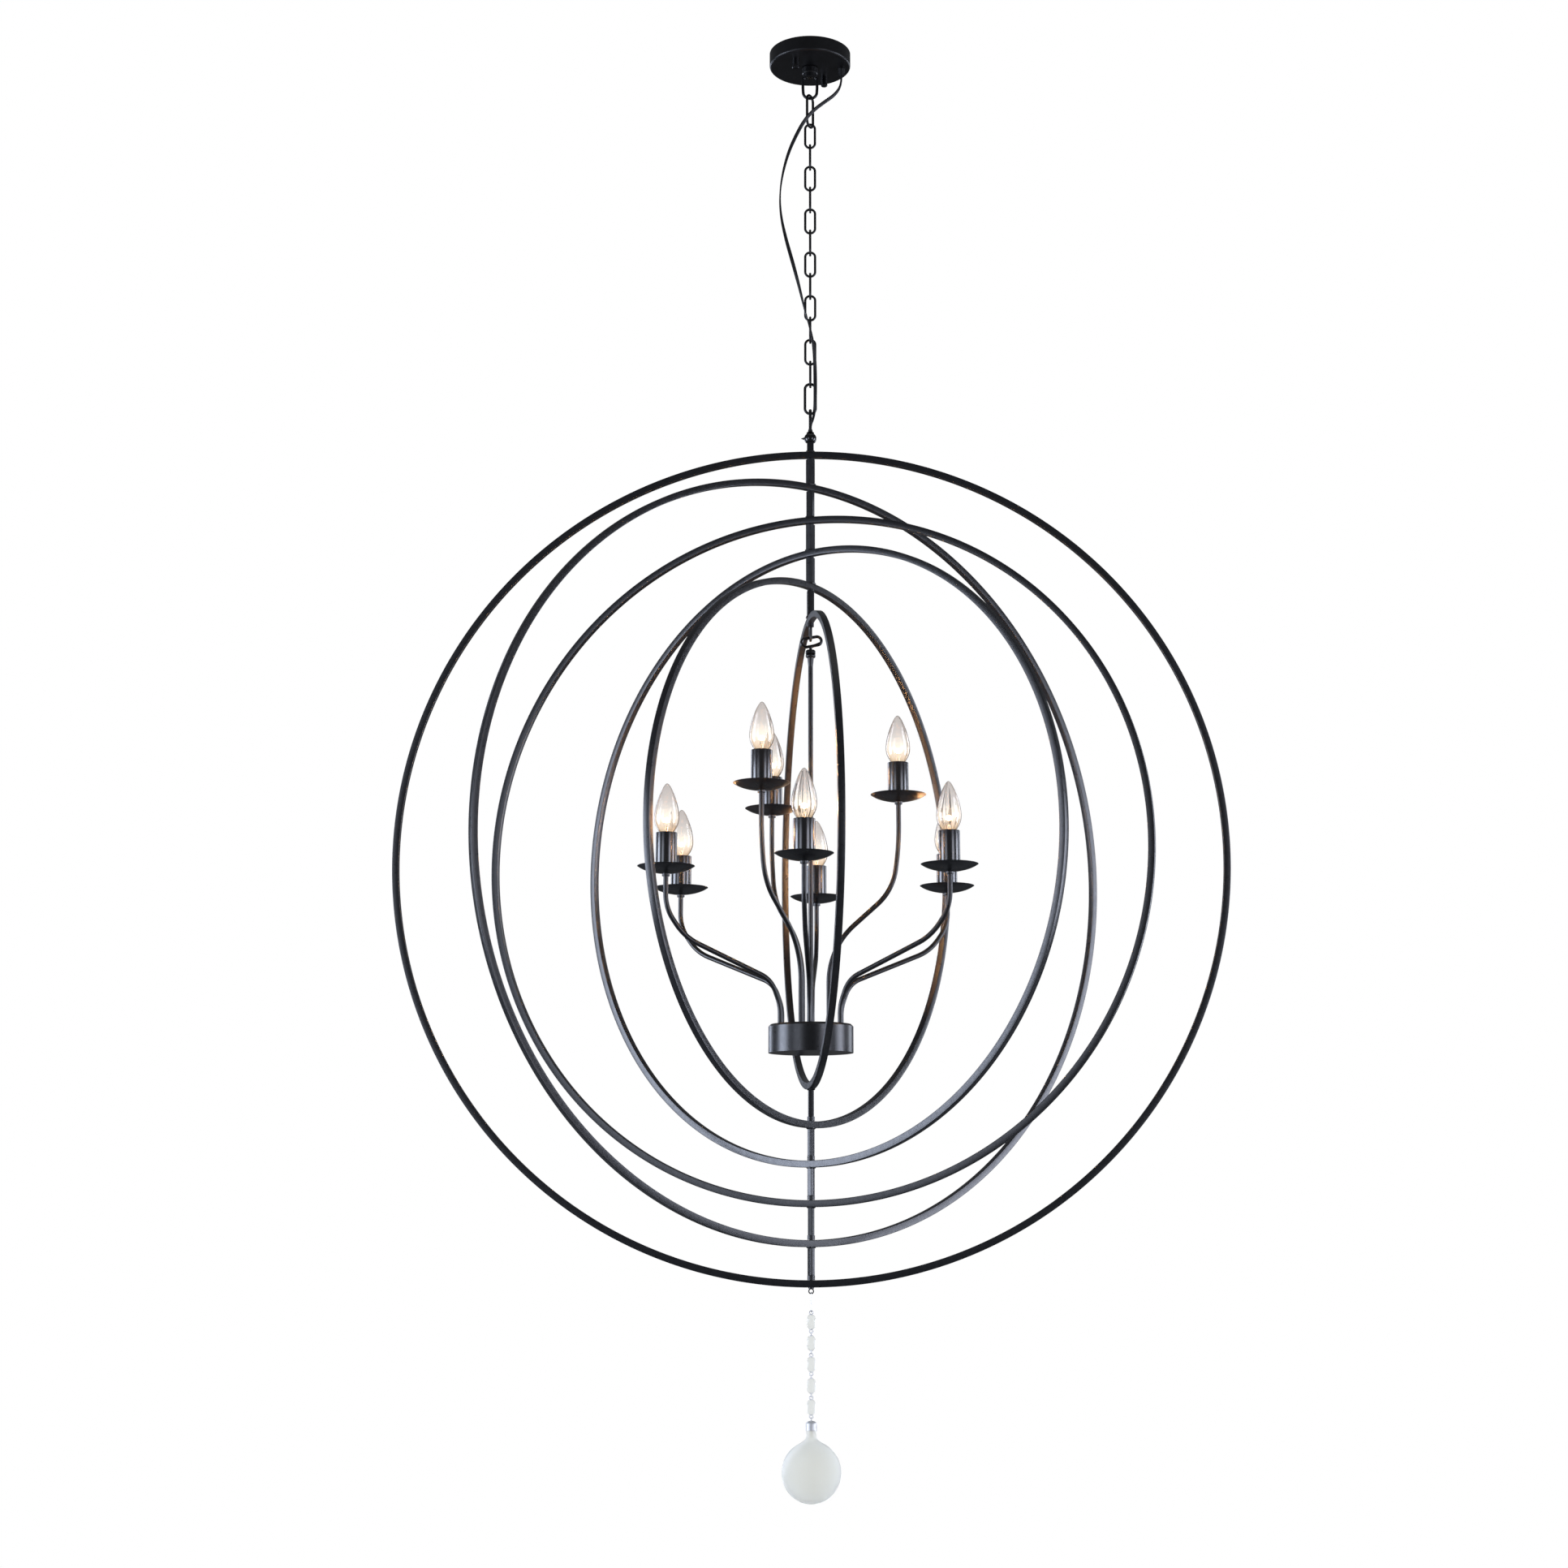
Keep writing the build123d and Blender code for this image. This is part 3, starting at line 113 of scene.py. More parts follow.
def linear(code: str) -> Colour:
    """Turns an sRGB hex colour into linear RGBA.

    Args:
        code: Six hex digits, with or without a leading hash.

    Returns:
        Linear red, green and blue, and an alpha of one.
    """
    digits = code.lstrip("#")
    channels = [int(digits[i : i + 2], 16) / 255 for i in (0, 2, 4)]
    flat = [c / 12.92 if c <= 0.04045 else ((c + 0.055) / 1.055) ** 2.4 for c in channels]
    return (flat[0], flat[1], flat[2], 1.0)


def add_node(
    tree: Tree, kind: str, inputs: dict | None = None, stops: Sequence[tuple[float, Colour]] = (), **settings
) -> bpy.types.Node:
    """Adds a shader node, sets its properties, fills or links its inputs, and sets a ramp's stops.

    Args:
        tree: The node tree.
        kind: The node's type name, without its ShaderNode prefix.
        inputs: Input name or index to a value, or to another node's output socket.
        stops: Position and colour of each stop of a colour ramp.
        **settings: Properties of the node.

    Returns:
        The new node.
    """
    node = tree.nodes.new("ShaderNode" + kind)
    for name, value in settings.items():
        setattr(node, name, value)
    for key, value in (inputs or {}).items():
        if isinstance(value, bpy.types.NodeSocket):
            tree.links.new(value, node.inputs[key])
        else:
            node.inputs[key].default_value = value
    if stops:
        elements = node.color_ramp.elements
        while len(elements) < len(stops):
            elements.new(0.5)
        for element, (position, colour) in zip(elements, stops):
            element.position = position
            element.color = colour
    return node


def spots(place: Socket, size_mm: float, detail: float = 2.0, roughness: float = 0.5) -> dict:
    """The inputs of a noise whose features are about this many millimetres across."""
    return {"Vector": place, "Scale": 1 / (size_mm * MM), "Detail": detail, "Roughness": roughness}


def span(value: Socket, low: float, high: float, start: float = 0.0, end: float = 1.0) -> dict:
    """The inputs of a map range that carries start..end to low..high."""
    return {"Value": value, "From Min": start, "From Max": end, "To Min": low, "To Max": high}


def seen(tree: Tree, path: bpy.types.Node) -> Socket:
    """One for what the camera sees, straight or through glass, and zero for the rest."""
    ends = {0: path.outputs["Is Camera Ray"], 1: path.outputs["Is Transmission Ray"]}
    return add_node(tree, "Math", ends, operation="MAXIMUM").outputs[0]


@dataclass(frozen=True)
class Finish:
    """A named material. Its patterns are laid out in object coordinates."""

    name: str

    def surface(self, tree: Tree, place: Socket) -> Socket:
        """Draws the surface and returns its shader. Every finish has its own."""
        raise NotImplementedError

    def build(self) -> bpy.types.Material:
        """Builds the material round its surface.

        Returns:
            The new material.
        """
        material = bpy.data.materials.new(self.name)
        material.use_nodes = True
        tree = material.node_tree
        tree.nodes.clear()
        place = add_node(tree, "TexCoord").outputs["Object"]
        add_node(tree, "OutputMaterial", {"Surface": self.surface(tree, place)})
        return material


@dataclass(frozen=True)
class PowderCoat(Finish):
    """A sprayed and baked coat on metal: fine orange peel, soft sheen, and a painted highlight on the edges.

    The peel is drawn as coarse as a pixel of the photograph, coarser than real, so that it shows.
    """

    colour: str
    edge_highlight_colour: str
    gloss_low: float = 0.26
    gloss_high: float = 0.36
    peel_mm: float = 1.1
    peel_depth_mm: float = 0.0035
    cloud_mm: float = 60.0
    grit_mm: float = 6.0
    shine: float = 0.6
    lacquer: float = 0.1

    def surface(self, tree: Tree, place: Socket) -> Socket:
        """Mixes the coat's colour by a broad cloud, and paints a highlight colour on sharp edges, patchy by a
        grit noise.

        Args:
            tree: The node tree.
            place: Object coordinates.

        Returns:
            The surface's shader socket.
        """
        broad = add_node(tree, "TexNoise", spots(place, self.cloud_mm, 3.0)).outputs["Fac"]
        fine = add_node(tree, "TexNoise", spots(place, self.peel_mm, 3.0, 0.6)).outputs["Fac"]
        grit = add_node(tree, "TexNoise", spots(place, self.grit_mm, 4.0, 0.7)).outputs["Fac"]
        # The second colour is the painted edge highlight; a quarter of it also pales the broad cloud.
        dark, thin = linear(self.colour), linear(self.edge_highlight_colour)
        paler = tuple(0.75 * d + 0.25 * t for d, t in zip(dark, thin))
        coat = add_node(tree, "ValToRGB", {"Fac": broad}, [(0.3, dark), (0.75, paler)]).outputs["Color"]
        # Painted highlight: near sharp edges the coat is lightened towards its second colour, broken up by
        # the grit.
        edge = add_node(tree, "Attribute", attribute_name="edge").outputs["Fac"]
        edge_highlight_mask = add_node(tree, "Math", {0: edge, 1: grit}, operation="MULTIPLY").outputs[0]
        tone = add_node(tree, "Mix", {"Factor": edge_highlight_mask, "A": coat, "B": thin}, data_type="RGBA")
        rough = add_node(tree, "MapRange", span(grit, self.gloss_low, self.gloss_high, *NOISE_SPREAD))
        depth = {"Height": fine, "Strength": 0.35, "Distance": self.peel_depth_mm * MM}
        shader = {
            "Base Color": tone.outputs["Result"],
            "Roughness": rough.outputs["Result"],
            "Normal": add_node(tree, "Bump", depth).outputs["Normal"],
            "Specular IOR Level": self.shine,
            "Coat Weight": self.lacquer,
            "Coat Roughness": 0.25,
        }
        return add_node(tree, "BsdfPrincipled", shader).outputs["BSDF"]


@dataclass(frozen=True)
class PlatedMetal(Finish):
    """Plated steel or brass: faintly streaked, with fine polishing marks.

    The palest finishes are drawn with less metal, so that they stay pale against a white ground.
    """

    colour: str
    stain: str
    gloss_low: float
    gloss_high: float
    metal: float = 1.0
    cloud_mm: float = 9.0
    mark_mm: float = 0.7

    def surface(self, tree: Tree, place: Socket) -> Socket:
        """Clouds the metal's colour and gloss together, over fine marks.

        Args:
            tree: The node tree.
            place: Object coordinates.

        Returns:
            The surface's shader socket.
        """
        cloud = add_node(tree, "TexNoise", spots(place, self.cloud_mm, 4.0)).outputs["Fac"]
        marks = add_node(tree, "TexNoise", spots(place, self.mark_mm)).outputs["Fac"]
        tints = [(0.35, linear(self.colour)), (0.8, linear(self.stain))]
        rough = add_node(tree, "MapRange", span(cloud, self.gloss_low, self.gloss_high, *NOISE_SPREAD))
        bump = add_node(tree, "Bump", {"Height": marks, "Strength": 0.2, "Distance": 0.01 * MM})
        shader = {
            "Base Color": add_node(tree, "ValToRGB", {"Fac": cloud}, tints).outputs["Color"],
            "Metallic": self.metal,
            "Roughness": rough.outputs["Result"],
            "Normal": bump.outputs["Normal"],
        }
        return add_node(tree, "BsdfPrincipled", shader).outputs["BSDF"]


@dataclass(frozen=True)
class Sheath(Finish):
    """Extruded or moulded plastic: even colour, slight mottling and a matt skin."""

    colour: str
    light: str
    gloss: float
    grain_mm: float
    cloud_mm: float = 14.0

    def surface(self, tree: Tree, place: Socket) -> Socket:
        """Mottles the colour broadly, and roughens the skin with a fine grain.

        Args:
            tree: The node tree.
            place: Object coordinates.

        Returns:
            The surface's shader socket.
        """
        cloud = add_node(tree, "TexNoise", spots(place, self.cloud_mm, 3.0)).outputs["Fac"]
        grain = add_node(tree, "TexNoise", spots(place, self.grain_mm, 3.0)).outputs["Fac"]
        tints = [(0.3, linear(self.colour)), (0.8, linear(self.light))]
        rough = add_node(tree, "MapRange", span(grain, self.gloss - 0.06, self.gloss + 0.08, *NOISE_SPREAD))
        bump = add_node(tree, "Bump", {"Height": grain, "Strength": 0.3, "Distance": 0.02 * MM})
        shader = {
            "Base Color": add_node(tree, "ValToRGB", {"Fac": cloud}, tints).outputs["Color"],
            "Roughness": rough.outputs["Result"],
            "Normal": bump.outputs["Normal"],
        }
        return add_node(tree, "BsdfPrincipled", shader).outputs["BSDF"]


@dataclass(frozen=True)
class Glass(Finish):
    """Clear or etched glass, with faint ripples from blowing or pressing."""

    colour: str
    gloss: float
    index: float = 1.5
    ripple_mm: float = 12.0
    ripple_depth_mm: float = 0.02
    transmission: float = 1.0
    rim: str = ""

    def surface(self, tree: Tree, place: Socket) -> Socket:
        """Tints the glass by its ripples, and paints its outline, where it turns away, towards the rim's
        colour.

        Args:
            tree: The node tree.
            place: Object coordinates.

        Returns:
            The surface's shader socket.
        """
        waves = add_node(tree, "TexNoise", spots(place, self.ripple_mm)).outputs["Fac"]
        grain = add_node(tree, "TexNoise", spots(place, 0.5)).outputs["Fac"]
        rough = add_node(tree, "MapRange", span(grain, self.gloss * 0.85, self.gloss * 1.15, *NOISE_SPREAD))
        depth = {"Height": waves, "Strength": 0.3, "Distance": self.ripple_depth_mm * MM}
        middle = linear(self.colour)
        tints = [(0.2, middle), (0.9, tuple(c * 0.97 for c in middle))]
        tone = add_node(tree, "ValToRGB", {"Fac": waves}, tints).outputs["Color"]
        # Painted light: the outline, where the glass turns from the eye, takes the rim's colour.
        if self.rim:
            facing = add_node(tree, "LayerWeight", {"Blend": 0.5}).outputs["Facing"]
            share = add_node(tree, "MapRange", span(facing, 0.0, 1.0, 0.05, 0.85)).outputs["Result"]
            paler = {"Factor": share, "A": tone, "B": linear(self.rim)}
            tone = add_node(tree, "Mix", paler, data_type="RGBA").outputs["Result"]
        shader = {
            "Base Color": tone,
            "Roughness": rough.outputs["Result"],
            "IOR": self.index,
            "Transmission Weight": self.transmission,
            "Normal": add_node(tree, "Bump", depth).outputs["Normal"],
        }
        return add_node(tree, "BsdfPrincipled", shader).outputs["BSDF"]


@dataclass(frozen=True)
class LampGlass(Finish):
    """Blown lamp glass round a lit filament: clear at the tip, painted warm where the light passes through
    it, and painted darker along its outline.

    The bands are tints by height, from 0 at the neck to 1 at the tip, and hot gives the heights at
    which the glow starts, is strongest and ends.
    """

    bands: tuple[tuple[float, str], ...]
    rim: str
    glow: str
    hot: tuple[float, float, float] = (0.16, 0.36, 0.54)
    index: float = 1.45
    glow_strength: float = 0.08

    def surface(self, tree: Tree, place: Socket) -> Socket:
        """Adds a glow to tinted glass, and lets the filament's light pass without a shadow.

        Args:
            tree: The node tree.
            place: Object coordinates.

        Returns:
            The surface's shader socket.
        """
        height = add_node(tree, "Attribute", attribute_name="edge").outputs["Fac"]
        waves = add_node(tree, "TexNoise", spots(place, 7.0)).outputs["Fac"]
        bump = add_node(tree, "Bump", {"Height": waves, "Strength": 0.4, "Distance": 0.05 * MM})
        tints = [(position, linear(code)) for position, code in self.bands]
        # Painted shade: the glass darkens towards the rim's colour where it turns away, drawing a dark
        # outline.
        outline_shade = [(0.35, WHITE), (0.8, linear(self.rim))]
        facing = add_node(tree, "LayerWeight", {"Blend": 0.5}).outputs["Facing"]
        shade = {
            "Factor": 1.0,
            "A": add_node(tree, "ValToRGB", {"Fac": height}, tints).outputs["Color"],
            "B": add_node(tree, "ValToRGB", {"Fac": facing}, outline_shade).outputs["Color"],
        }
        tone = add_node(tree, "Mix", shade, data_type="RGBA", blend_type="MULTIPLY")
        shader = {
            "Base Color": tone.outputs["Result"],
            "Roughness": 0.0,
            "IOR": self.index,
            "Transmission Weight": 1.0,
            "Normal": bump.outputs["Normal"],
        }
        glass = add_node(tree, "BsdfPrincipled", shader)
        middle = add_node(tree, "Math", {0: 1.0, 1: facing}, operation="SUBTRACT").outputs[0]
        heat = list(zip(self.hot, (BLACK, WHITE, BLACK)))
        near = add_node(tree, "ValToRGB", {"Fac": height}, heat).outputs["Color"]
        spread = add_node(tree, "Math", {0: near, 1: middle}, operation="MULTIPLY").outputs[0]
        power = add_node(tree, "MapRange", span(spread, 0.0, self.glow_strength)).outputs["Result"]
        halo = add_node(tree, "Emission", {"Color": linear(self.glow), "Strength": power})
        lit = add_node(tree, "AddShader", {0: glass.outputs["BSDF"], 1: halo.outputs["Emission"]})
        shadow = add_node(tree, "LightPath").outputs["Is Shadow Ray"]
        clear = add_node(tree, "BsdfTransparent")
        return add_node(tree, "MixShader", {0: shadow, 1: lit.outputs[0], 2: clear.outputs[0]}).outputs[0]


@dataclass(frozen=True)
class GlowingWire(Finish):
    """A lit filament, brighter and dimmer along its coil."""

    colour: str
    strength: float
    turn_mm: float = 0.8

    def surface(self, tree: Tree, place: Socket) -> Socket:
        """Lets the wire's light swing by a fifth.

        Args:
            tree: The node tree.
            place: Object coordinates.

        Returns:
            The surface's shader socket.
        """
        turns = add_node(tree, "TexNoise", spots(place, self.turn_mm, 1.0)).outputs["Fac"]
        heat = add_node(tree, "MapRange", span(turns, self.strength * 0.8, self.strength * 1.2))
        glow = {"Color": linear(self.colour), "Strength": heat.outputs["Result"]}
        return add_node(tree, "Emission", glow).outputs["Emission"]


@dataclass(frozen=True)
class PaleFloor(Finish):
    """Matt paint on a floor, white wherever the camera sees it."""

    colour: str = "#8e8e8c"

    def surface(self, tree: Tree, place: Socket) -> Socket:
        """Mixes matt paint with plain white by what the camera sees.

        Args:
            tree: The node tree.
            place: Object coordinates. Not used.

        Returns:
            The surface's shader socket.
        """
        matt = add_node(tree, "BsdfDiffuse", {"Color": linear(self.colour)})
        white = add_node(tree, "Emission", {"Color": WHITE, "Strength": 1.0})
        ends = {0: seen(tree, add_node(tree, "LightPath")), 1: matt.outputs[0], 2: white.outputs[0]}
        return add_node(tree, "MixShader", ends).outputs[0]


# Tints of the bulb glass by height: painted warm light low down, where the filament shines through, greyer
# towards the tip.
LAMP_TINTS = (
    (0.0, "#f3dfc6"),
    (0.18, "#faeedf"),
    (0.34, "#faf7f2"),
    (0.5, "#f8f5f1"),
    (0.7, "#ebe7e5"),
    (1.0, "#e2dedc"),
)


class Palette:
    """Builds each finish once and hands it out by name."""

    def __init__(self) -> None:
        """Builds every finish of the light."""
        finishes = [
            # Baked powder on bent bar and tube: a soft sheen that follows the bends, no mirror, and a painted
            # highlight on the rings' edges.
            PowderCoat("satin_powder_coat", "#0a0a0c", "#2a2c31"),
            # Sprayed lacquer on canopy and chain: nearly flat black, with a dull highlight.
            PowderCoat("matt_lacquer", "#060607", "#16171a", 0.34, 0.44, shine=0.42, lacquer=0.0),
            # The same powder on small turned parts, rubbed smoother: short bright highlights.
            PowderCoat("gloss_powder_coat", "#070708", "#1c1d21", gloss_low=0.12, gloss_high=0.2),
            # Dipped enamel on the candle tubes: deep black with sharp upright bands of light.
            PowderCoat("sleeve_enamel", "#0c0c0e", "#26282e", 0.16, 0.24, 2.5, shine=0.9, lacquer=0.3),
            # Zinc-plated sheet and threads inside the canopy: dull yellowish grey, cloudy.
            PlatedMetal("zinc_plate", "#b9b4a4", "#8f8b80", 0.28, 0.45),
            # Nickel on eyelets and leads: bright and cool.
            PlatedMetal("bright_nickel", "#dcdddf", "#b9bbbf", 0.16, 0.28),
            # Silvered wire of the bead pins: so pale that it nearly goes on the white ground.
            PlatedMetal("silvered_wire", "#ffffff", "#f6f6f4", 0.5, 0.7, metal=0.1),
            # Satin silver on the ball's pressed cap: a pale grey that darkens at its sides.
            PlatedMetal("satin_silver", "#f3f3f1", "#dededb", 0.4, 0.55, metal=0.5),
            # Rolled brass of the screw caps, seen through the neck of a bulb.
            PlatedMetal("brass_cap", "#b08d4f", "#7d6233", 0.22, 0.38),
            # Extruded cord sheath: black, with a waxy sheen.
            Sheath("cord_sheath", "#121213", "#1e1e20", 0.42, 0.9),
            # Moulded lampholders: flat, slightly grainy black.
            Sheath("moulded_phenolic", "#161617", "#222224", 0.5, 1.4),
            # Blown bulb glass: a dark outline of painted shade round a warm white glow, and painted warm
            # light low in the glass.
            LampGlass("lamp_glass", LAMP_TINTS, "#bfb0a2", "#ffdcae"),
            # Drawn glass of the bulb's inner stem: clear.
            Glass("stem_glass", "#ffffff", 0.02, 1.47),
            # Pressed and cut beads: pale grey facets without much sparkle.
            Glass("cut_crystal", "#e3e6e5", 0.3, 1.2, ripple_mm=30.0, ripple_depth_mm=0.005),
            # Acid-etched ball: milky, with an even pale rim of painted light.
            Glass("etched_glass", "#ecedea", 0.6, 1.12, 25.0, 0.1, transmission=0.9, rim="#eef0f0"),
            # Drawn filament wire at full heat: warm white.
            GlowingWire("lit_filament", "#ffc98c", 90.0),
        ]
        self._made = {finish.name: finish.build() for finish in finishes}

    def get(self, name: str) -> bpy.types.Material:
        """Returns the finish of this name."""
        return self._made[name]


# ---------------------------------------------------------------- surfaces


def new_object(name: str, data: bpy.types.ID) -> bpy.types.Object:
    """Makes an object of this data and links it into the scene.

    Args:
        name: The object's name.
        data: Its mesh, curve, light or camera.

    Returns:
        The new object.
    """
    obj = bpy.data.objects.new(name, data)
    bpy.context.collection.objects.link(obj)
    return obj


def around(steps: int) -> np.ndarray:
    """Angles that divide a full turn evenly, from zero."""
    return np.linspace(0, 2 * np.pi, steps, endpoint=False)


class Surface:
    """Gathers parametric surfaces into one mesh."""

    def __init__(self) -> None:
        """Starts with no points."""
        self.points: list[np.ndarray] = []
        self.faces: list[np.ndarray] = []
        self.slots: list[np.ndarray] = []
        self.edges: list[np.ndarray] = []
        self.count = 0

    def grid(
        self,
        points: np.ndarray,
        round_u: bool = False,
        round_v: bool = False,
        slot: int = 0,
        edge: np.ndarray | None = None,
    ) -> None:
        """Adds a grid of points joined by quads.

        Args:
            points: Rows by columns by three, in millimetres.
            round_u: Joins the last row to the first.
            round_v: Joins the last column to the first.
            slot: Material slot of these faces.
            edge: How near each point is to a sharp edge, rows by columns, from 0 to 1.
        """
        rows, columns = points.shape[:2]
        u = np.arange(rows if round_u else rows - 1)
        v = np.arange(columns if round_v else columns - 1)
        a, b = np.meshgrid(u, v, indexing="ij")
        c, d = (a + 1) % rows, (b + 1) % columns
        quads = np.stack([a * columns + b, c * columns + b, c * columns + d, a * columns + d], axis=-1)
        quads = quads.reshape(-1, 4) + self.count
        self.points.append(points.reshape(-1, 3) * MM)
        self.faces.append(quads)
        self.slots.append(np.full(len(quads), slot))
        self.edges.append(np.broadcast_to(0.0 if edge is None else edge, (rows, columns)).ravel())
        self.count += rows * columns

    def build(
        self, name: str, materials: Sequence[bpy.types.Material], smooth: bool = True, weld: bool = True
    ) -> bpy.types.Object:
        """Makes the object, with coinciding points joined.

        Args:
            name: The object's name.
            materials: Its material slots.
            smooth: Shades it smooth, with sharp edges kept. Otherwise its faces are flat triangles.
            weld: Joins points that coincide.

        Returns:
            The new object, at the origin.
        """
        points = np.concatenate(self.points)
        mesh = bpy.data.meshes.new(name)
        mesh.from_pydata(points.tolist(), [], np.concatenate(self.faces).tolist())
        mesh.polygons.foreach_set("material_index", np.concatenate(self.slots).astype(np.int32))
        edge = mesh.attributes.new("edge", "FLOAT", "POINT")
        edge.data.foreach_set("value", np.concatenate(self.edges).astype(np.float32))
        for material in materials:
            mesh.materials.append(material)
        if weld:
            weld_points(mesh, split=not smooth)
        mesh.polygons.foreach_set("use_smooth", [smooth] * len(mesh.polygons))
        if smooth:
            mesh.set_sharp_from_angle(angle=math.radians(SHARP_DEGREES))
        mesh.update()
        return new_object(name, mesh)


def weld_points(mesh: bpy.types.Mesh, split: bool) -> None:
    """Joins points that coincide and turns all faces outwards.

    Args:
        mesh: The mesh, changed in place.
        split: Splits the faces into flat triangles too.
    """
    work = bmesh.new()
    work.from_mesh(mesh)
    bmesh.ops.remove_doubles(work, verts=work.verts, dist=WELD_GAP_MM * MM)
    bmesh.ops.recalc_face_normals(work, faces=work.faces)
    if split:
        bmesh.ops.triangulate(work, faces=work.faces)
    work.to_mesh(mesh)
    work.free()


def turned(
    profile: Sequence[tuple[float, float]] | np.ndarray, centre: Point = (0.0, 0.0, 0.0), steps: int = 96
) -> np.ndarray:
    """Turns a profile about an upright axis.

    Args:
        profile: Radius and height pairs, in millimetres.
        centre: Where the axis stands.
        steps: How many divisions go round.

    Returns:
        Points, profile by steps by three: (r cos t, r sin t, h) for t round the circle.
    """
    r, h = np.array(profile, float).T
    t = around(steps)
    x = r[:, None] * np.cos(t) + centre[0]
    y = r[:, None] * np.sin(t) + centre[1]
    z = np.repeat(h[:, None] + centre[2], steps, axis=1)
    return np.stack([x, y, z], axis=-1)


def rounded(profile: Sequence[tuple[float, float, float]], steps: int = 5) -> list[tuple[float, float]]:
    """Rounds a profile's corners with quadratic curves (1 - s)² a + 2 s (1 - s) b + s² c.

    Args:
        profile: Radius, height and corner size for each point. A corner size of zero stays sharp.
        steps: Points per rounded corner.

    Returns:
        Radius and height pairs.
    """
    made: list[tuple[float, float]] = []
    points = [np.array(p[:2], float) for p in profile]
    for i, (r, h, size) in enumerate(profile):
        if size <= 0 or i in (0, len(profile) - 1):
            made.append((r, h))
            continue
        before, here, after = points[i - 1], points[i], points[i + 1]
        start = here + (before - here) * min(size / np.linalg.norm(before - here), 0.5)
        end = here + (after - here) * min(size / np.linalg.norm(after - here), 0.5)
        for s in np.linspace(0, 1, steps):
            made.append(tuple((1 - s) ** 2 * start + 2 * s * (1 - s) * here + s**2 * end))
    return made


def frames_along(path: np.ndarray, closed: bool = False) -> tuple[np.ndarray, np.ndarray]:
    """Carries a pair of cross directions along a path without twist.

    Args:
        path: Points, n by three.
        closed: The path's end joins its start.

    Returns:
        Two arrays of unit vectors across the path.
    """
    if closed:
        tangent = np.roll(path, -1, axis=0) - np.roll(path, 1, axis=0)
    else:
        tangent = np.gradient(path, axis=0)
    tangent /= np.linalg.norm(tangent, axis=1, keepdims=True)
    guess = np.eye(3)[np.argmin(np.abs(tangent[0]))]
    first = np.cross(tangent[0], guess)
    across = [first / np.linalg.norm(first)]
    for direction in tangent[1:]:
        carried = across[-1] - direction * (across[-1] @ direction)
        across.append(carried / np.linalg.norm(carried))
    across = np.array(across)
    return across, np.cross(tangent, across)


def tube(path: np.ndarray, radius: float | np.ndarray, closed: bool = False, steps: int = 20) -> np.ndarray:
    """Sweeps a circle along a path: p(s) + r (u cos t + v sin t), with u and v across the path.

    Args:
        path: Points, n by three, in millimetres.
        radius: One radius, or one for each point.
        closed: The path's end joins its start.
        steps: Divisions round the tube.

    Returns:
        Points, path by steps by three.
    """
    one, two = frames_along(path, closed)
    t = around(steps)
    spread = np.broadcast_to(np.asarray(radius, float), (len(path),))[:, None, None]
    ring = np.cos(t)[None, :, None] * one[:, None] + np.sin(t)[None, :, None] * two[:, None]
    return path[:, None] + spread * ring


def rounded_square(width: float, corner: float, steps: int = 5) -> tuple[np.ndarray, np.ndarray]:
    """A square section whose corners are quarter circles.

    Args:
        width: Side of the square.
        corner: Corner radius.
        steps: Points per corner.

    Returns:
        Points, n by two, and how near each is to the middle of a corner, from 0 to 1.
    """
    s = np.tile(np.linspace(0, 1, steps), 4)
    start = np.repeat(np.arange(4) * math.pi / 2, steps)
    diagonal, angle = start + math.pi / 4, start + s * math.pi / 2
    reach = (width / 2 - corner) * math.sqrt(2)
    centre = reach * np.stack([np.cos(diagonal), np.sin(diagonal)], axis=-1)
    points = centre + corner * np.stack([np.cos(angle), np.sin(angle)], axis=-1)
    return points, 1 - np.abs(2 * s - 1) * 0.6


def bend(points: Sequence[tuple[float, ...]] | np.ndarray, steps: int) -> np.ndarray:
    """A smooth curve pulled by control points: neighbours mix as (1 - s) a + s b until one is left.

    Args:
        points: Control points. The curve starts on the first and ends on the last.
        steps: Points on the curve.

    Returns:
        Points, steps by the size of a control point.
    """
    s = np.linspace(0, 1, steps)[:, None, None]
    rows = np.repeat(np.array(points, float)[None], steps, axis=0)
    while rows.shape[1] > 1:
        rows = (1 - s) * rows[:, :-1] + s * rows[:, 1:]
    return rows[:, 0]


def flat_end(loop: np.ndarray) -> np.ndarray:
    """Two rows that close a loop of points onto its middle."""
    return np.stack([loop, np.broadcast_to(loop.mean(axis=0), loop.shape)])


def level(azimuth: float) -> np.ndarray:
    """The level unit vector at an azimuth in degrees."""
    return np.array([math.cos(math.radians(azimuth)), math.sin(math.radians(azimuth)), 0.0])


def box_mm(node: str) -> tuple[np.ndarray, np.ndarray]:
    """Lowest and highest corner of a node, in millimetres."""
    low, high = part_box(node)
    return np.array(low) / MM, np.array(high) / MM


def settle(obj: bpy.types.Object, body: str, slot: Slot, *nodes: str) -> None:
    """Puts a new piece on a body, hides the nodes that it stands for, and reports it.

    Args:
        obj: The piece.
        body: The body that carries it.
        slot: Its material slot in the record. Not used.
        *nodes: The nodes that it replaces, if any.
    """
    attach(obj, body)
    if nodes:
        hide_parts(*nodes)
    LOG.info("%s rides on %s", obj.name, body)


# ---------------------------------------------------------------- rings


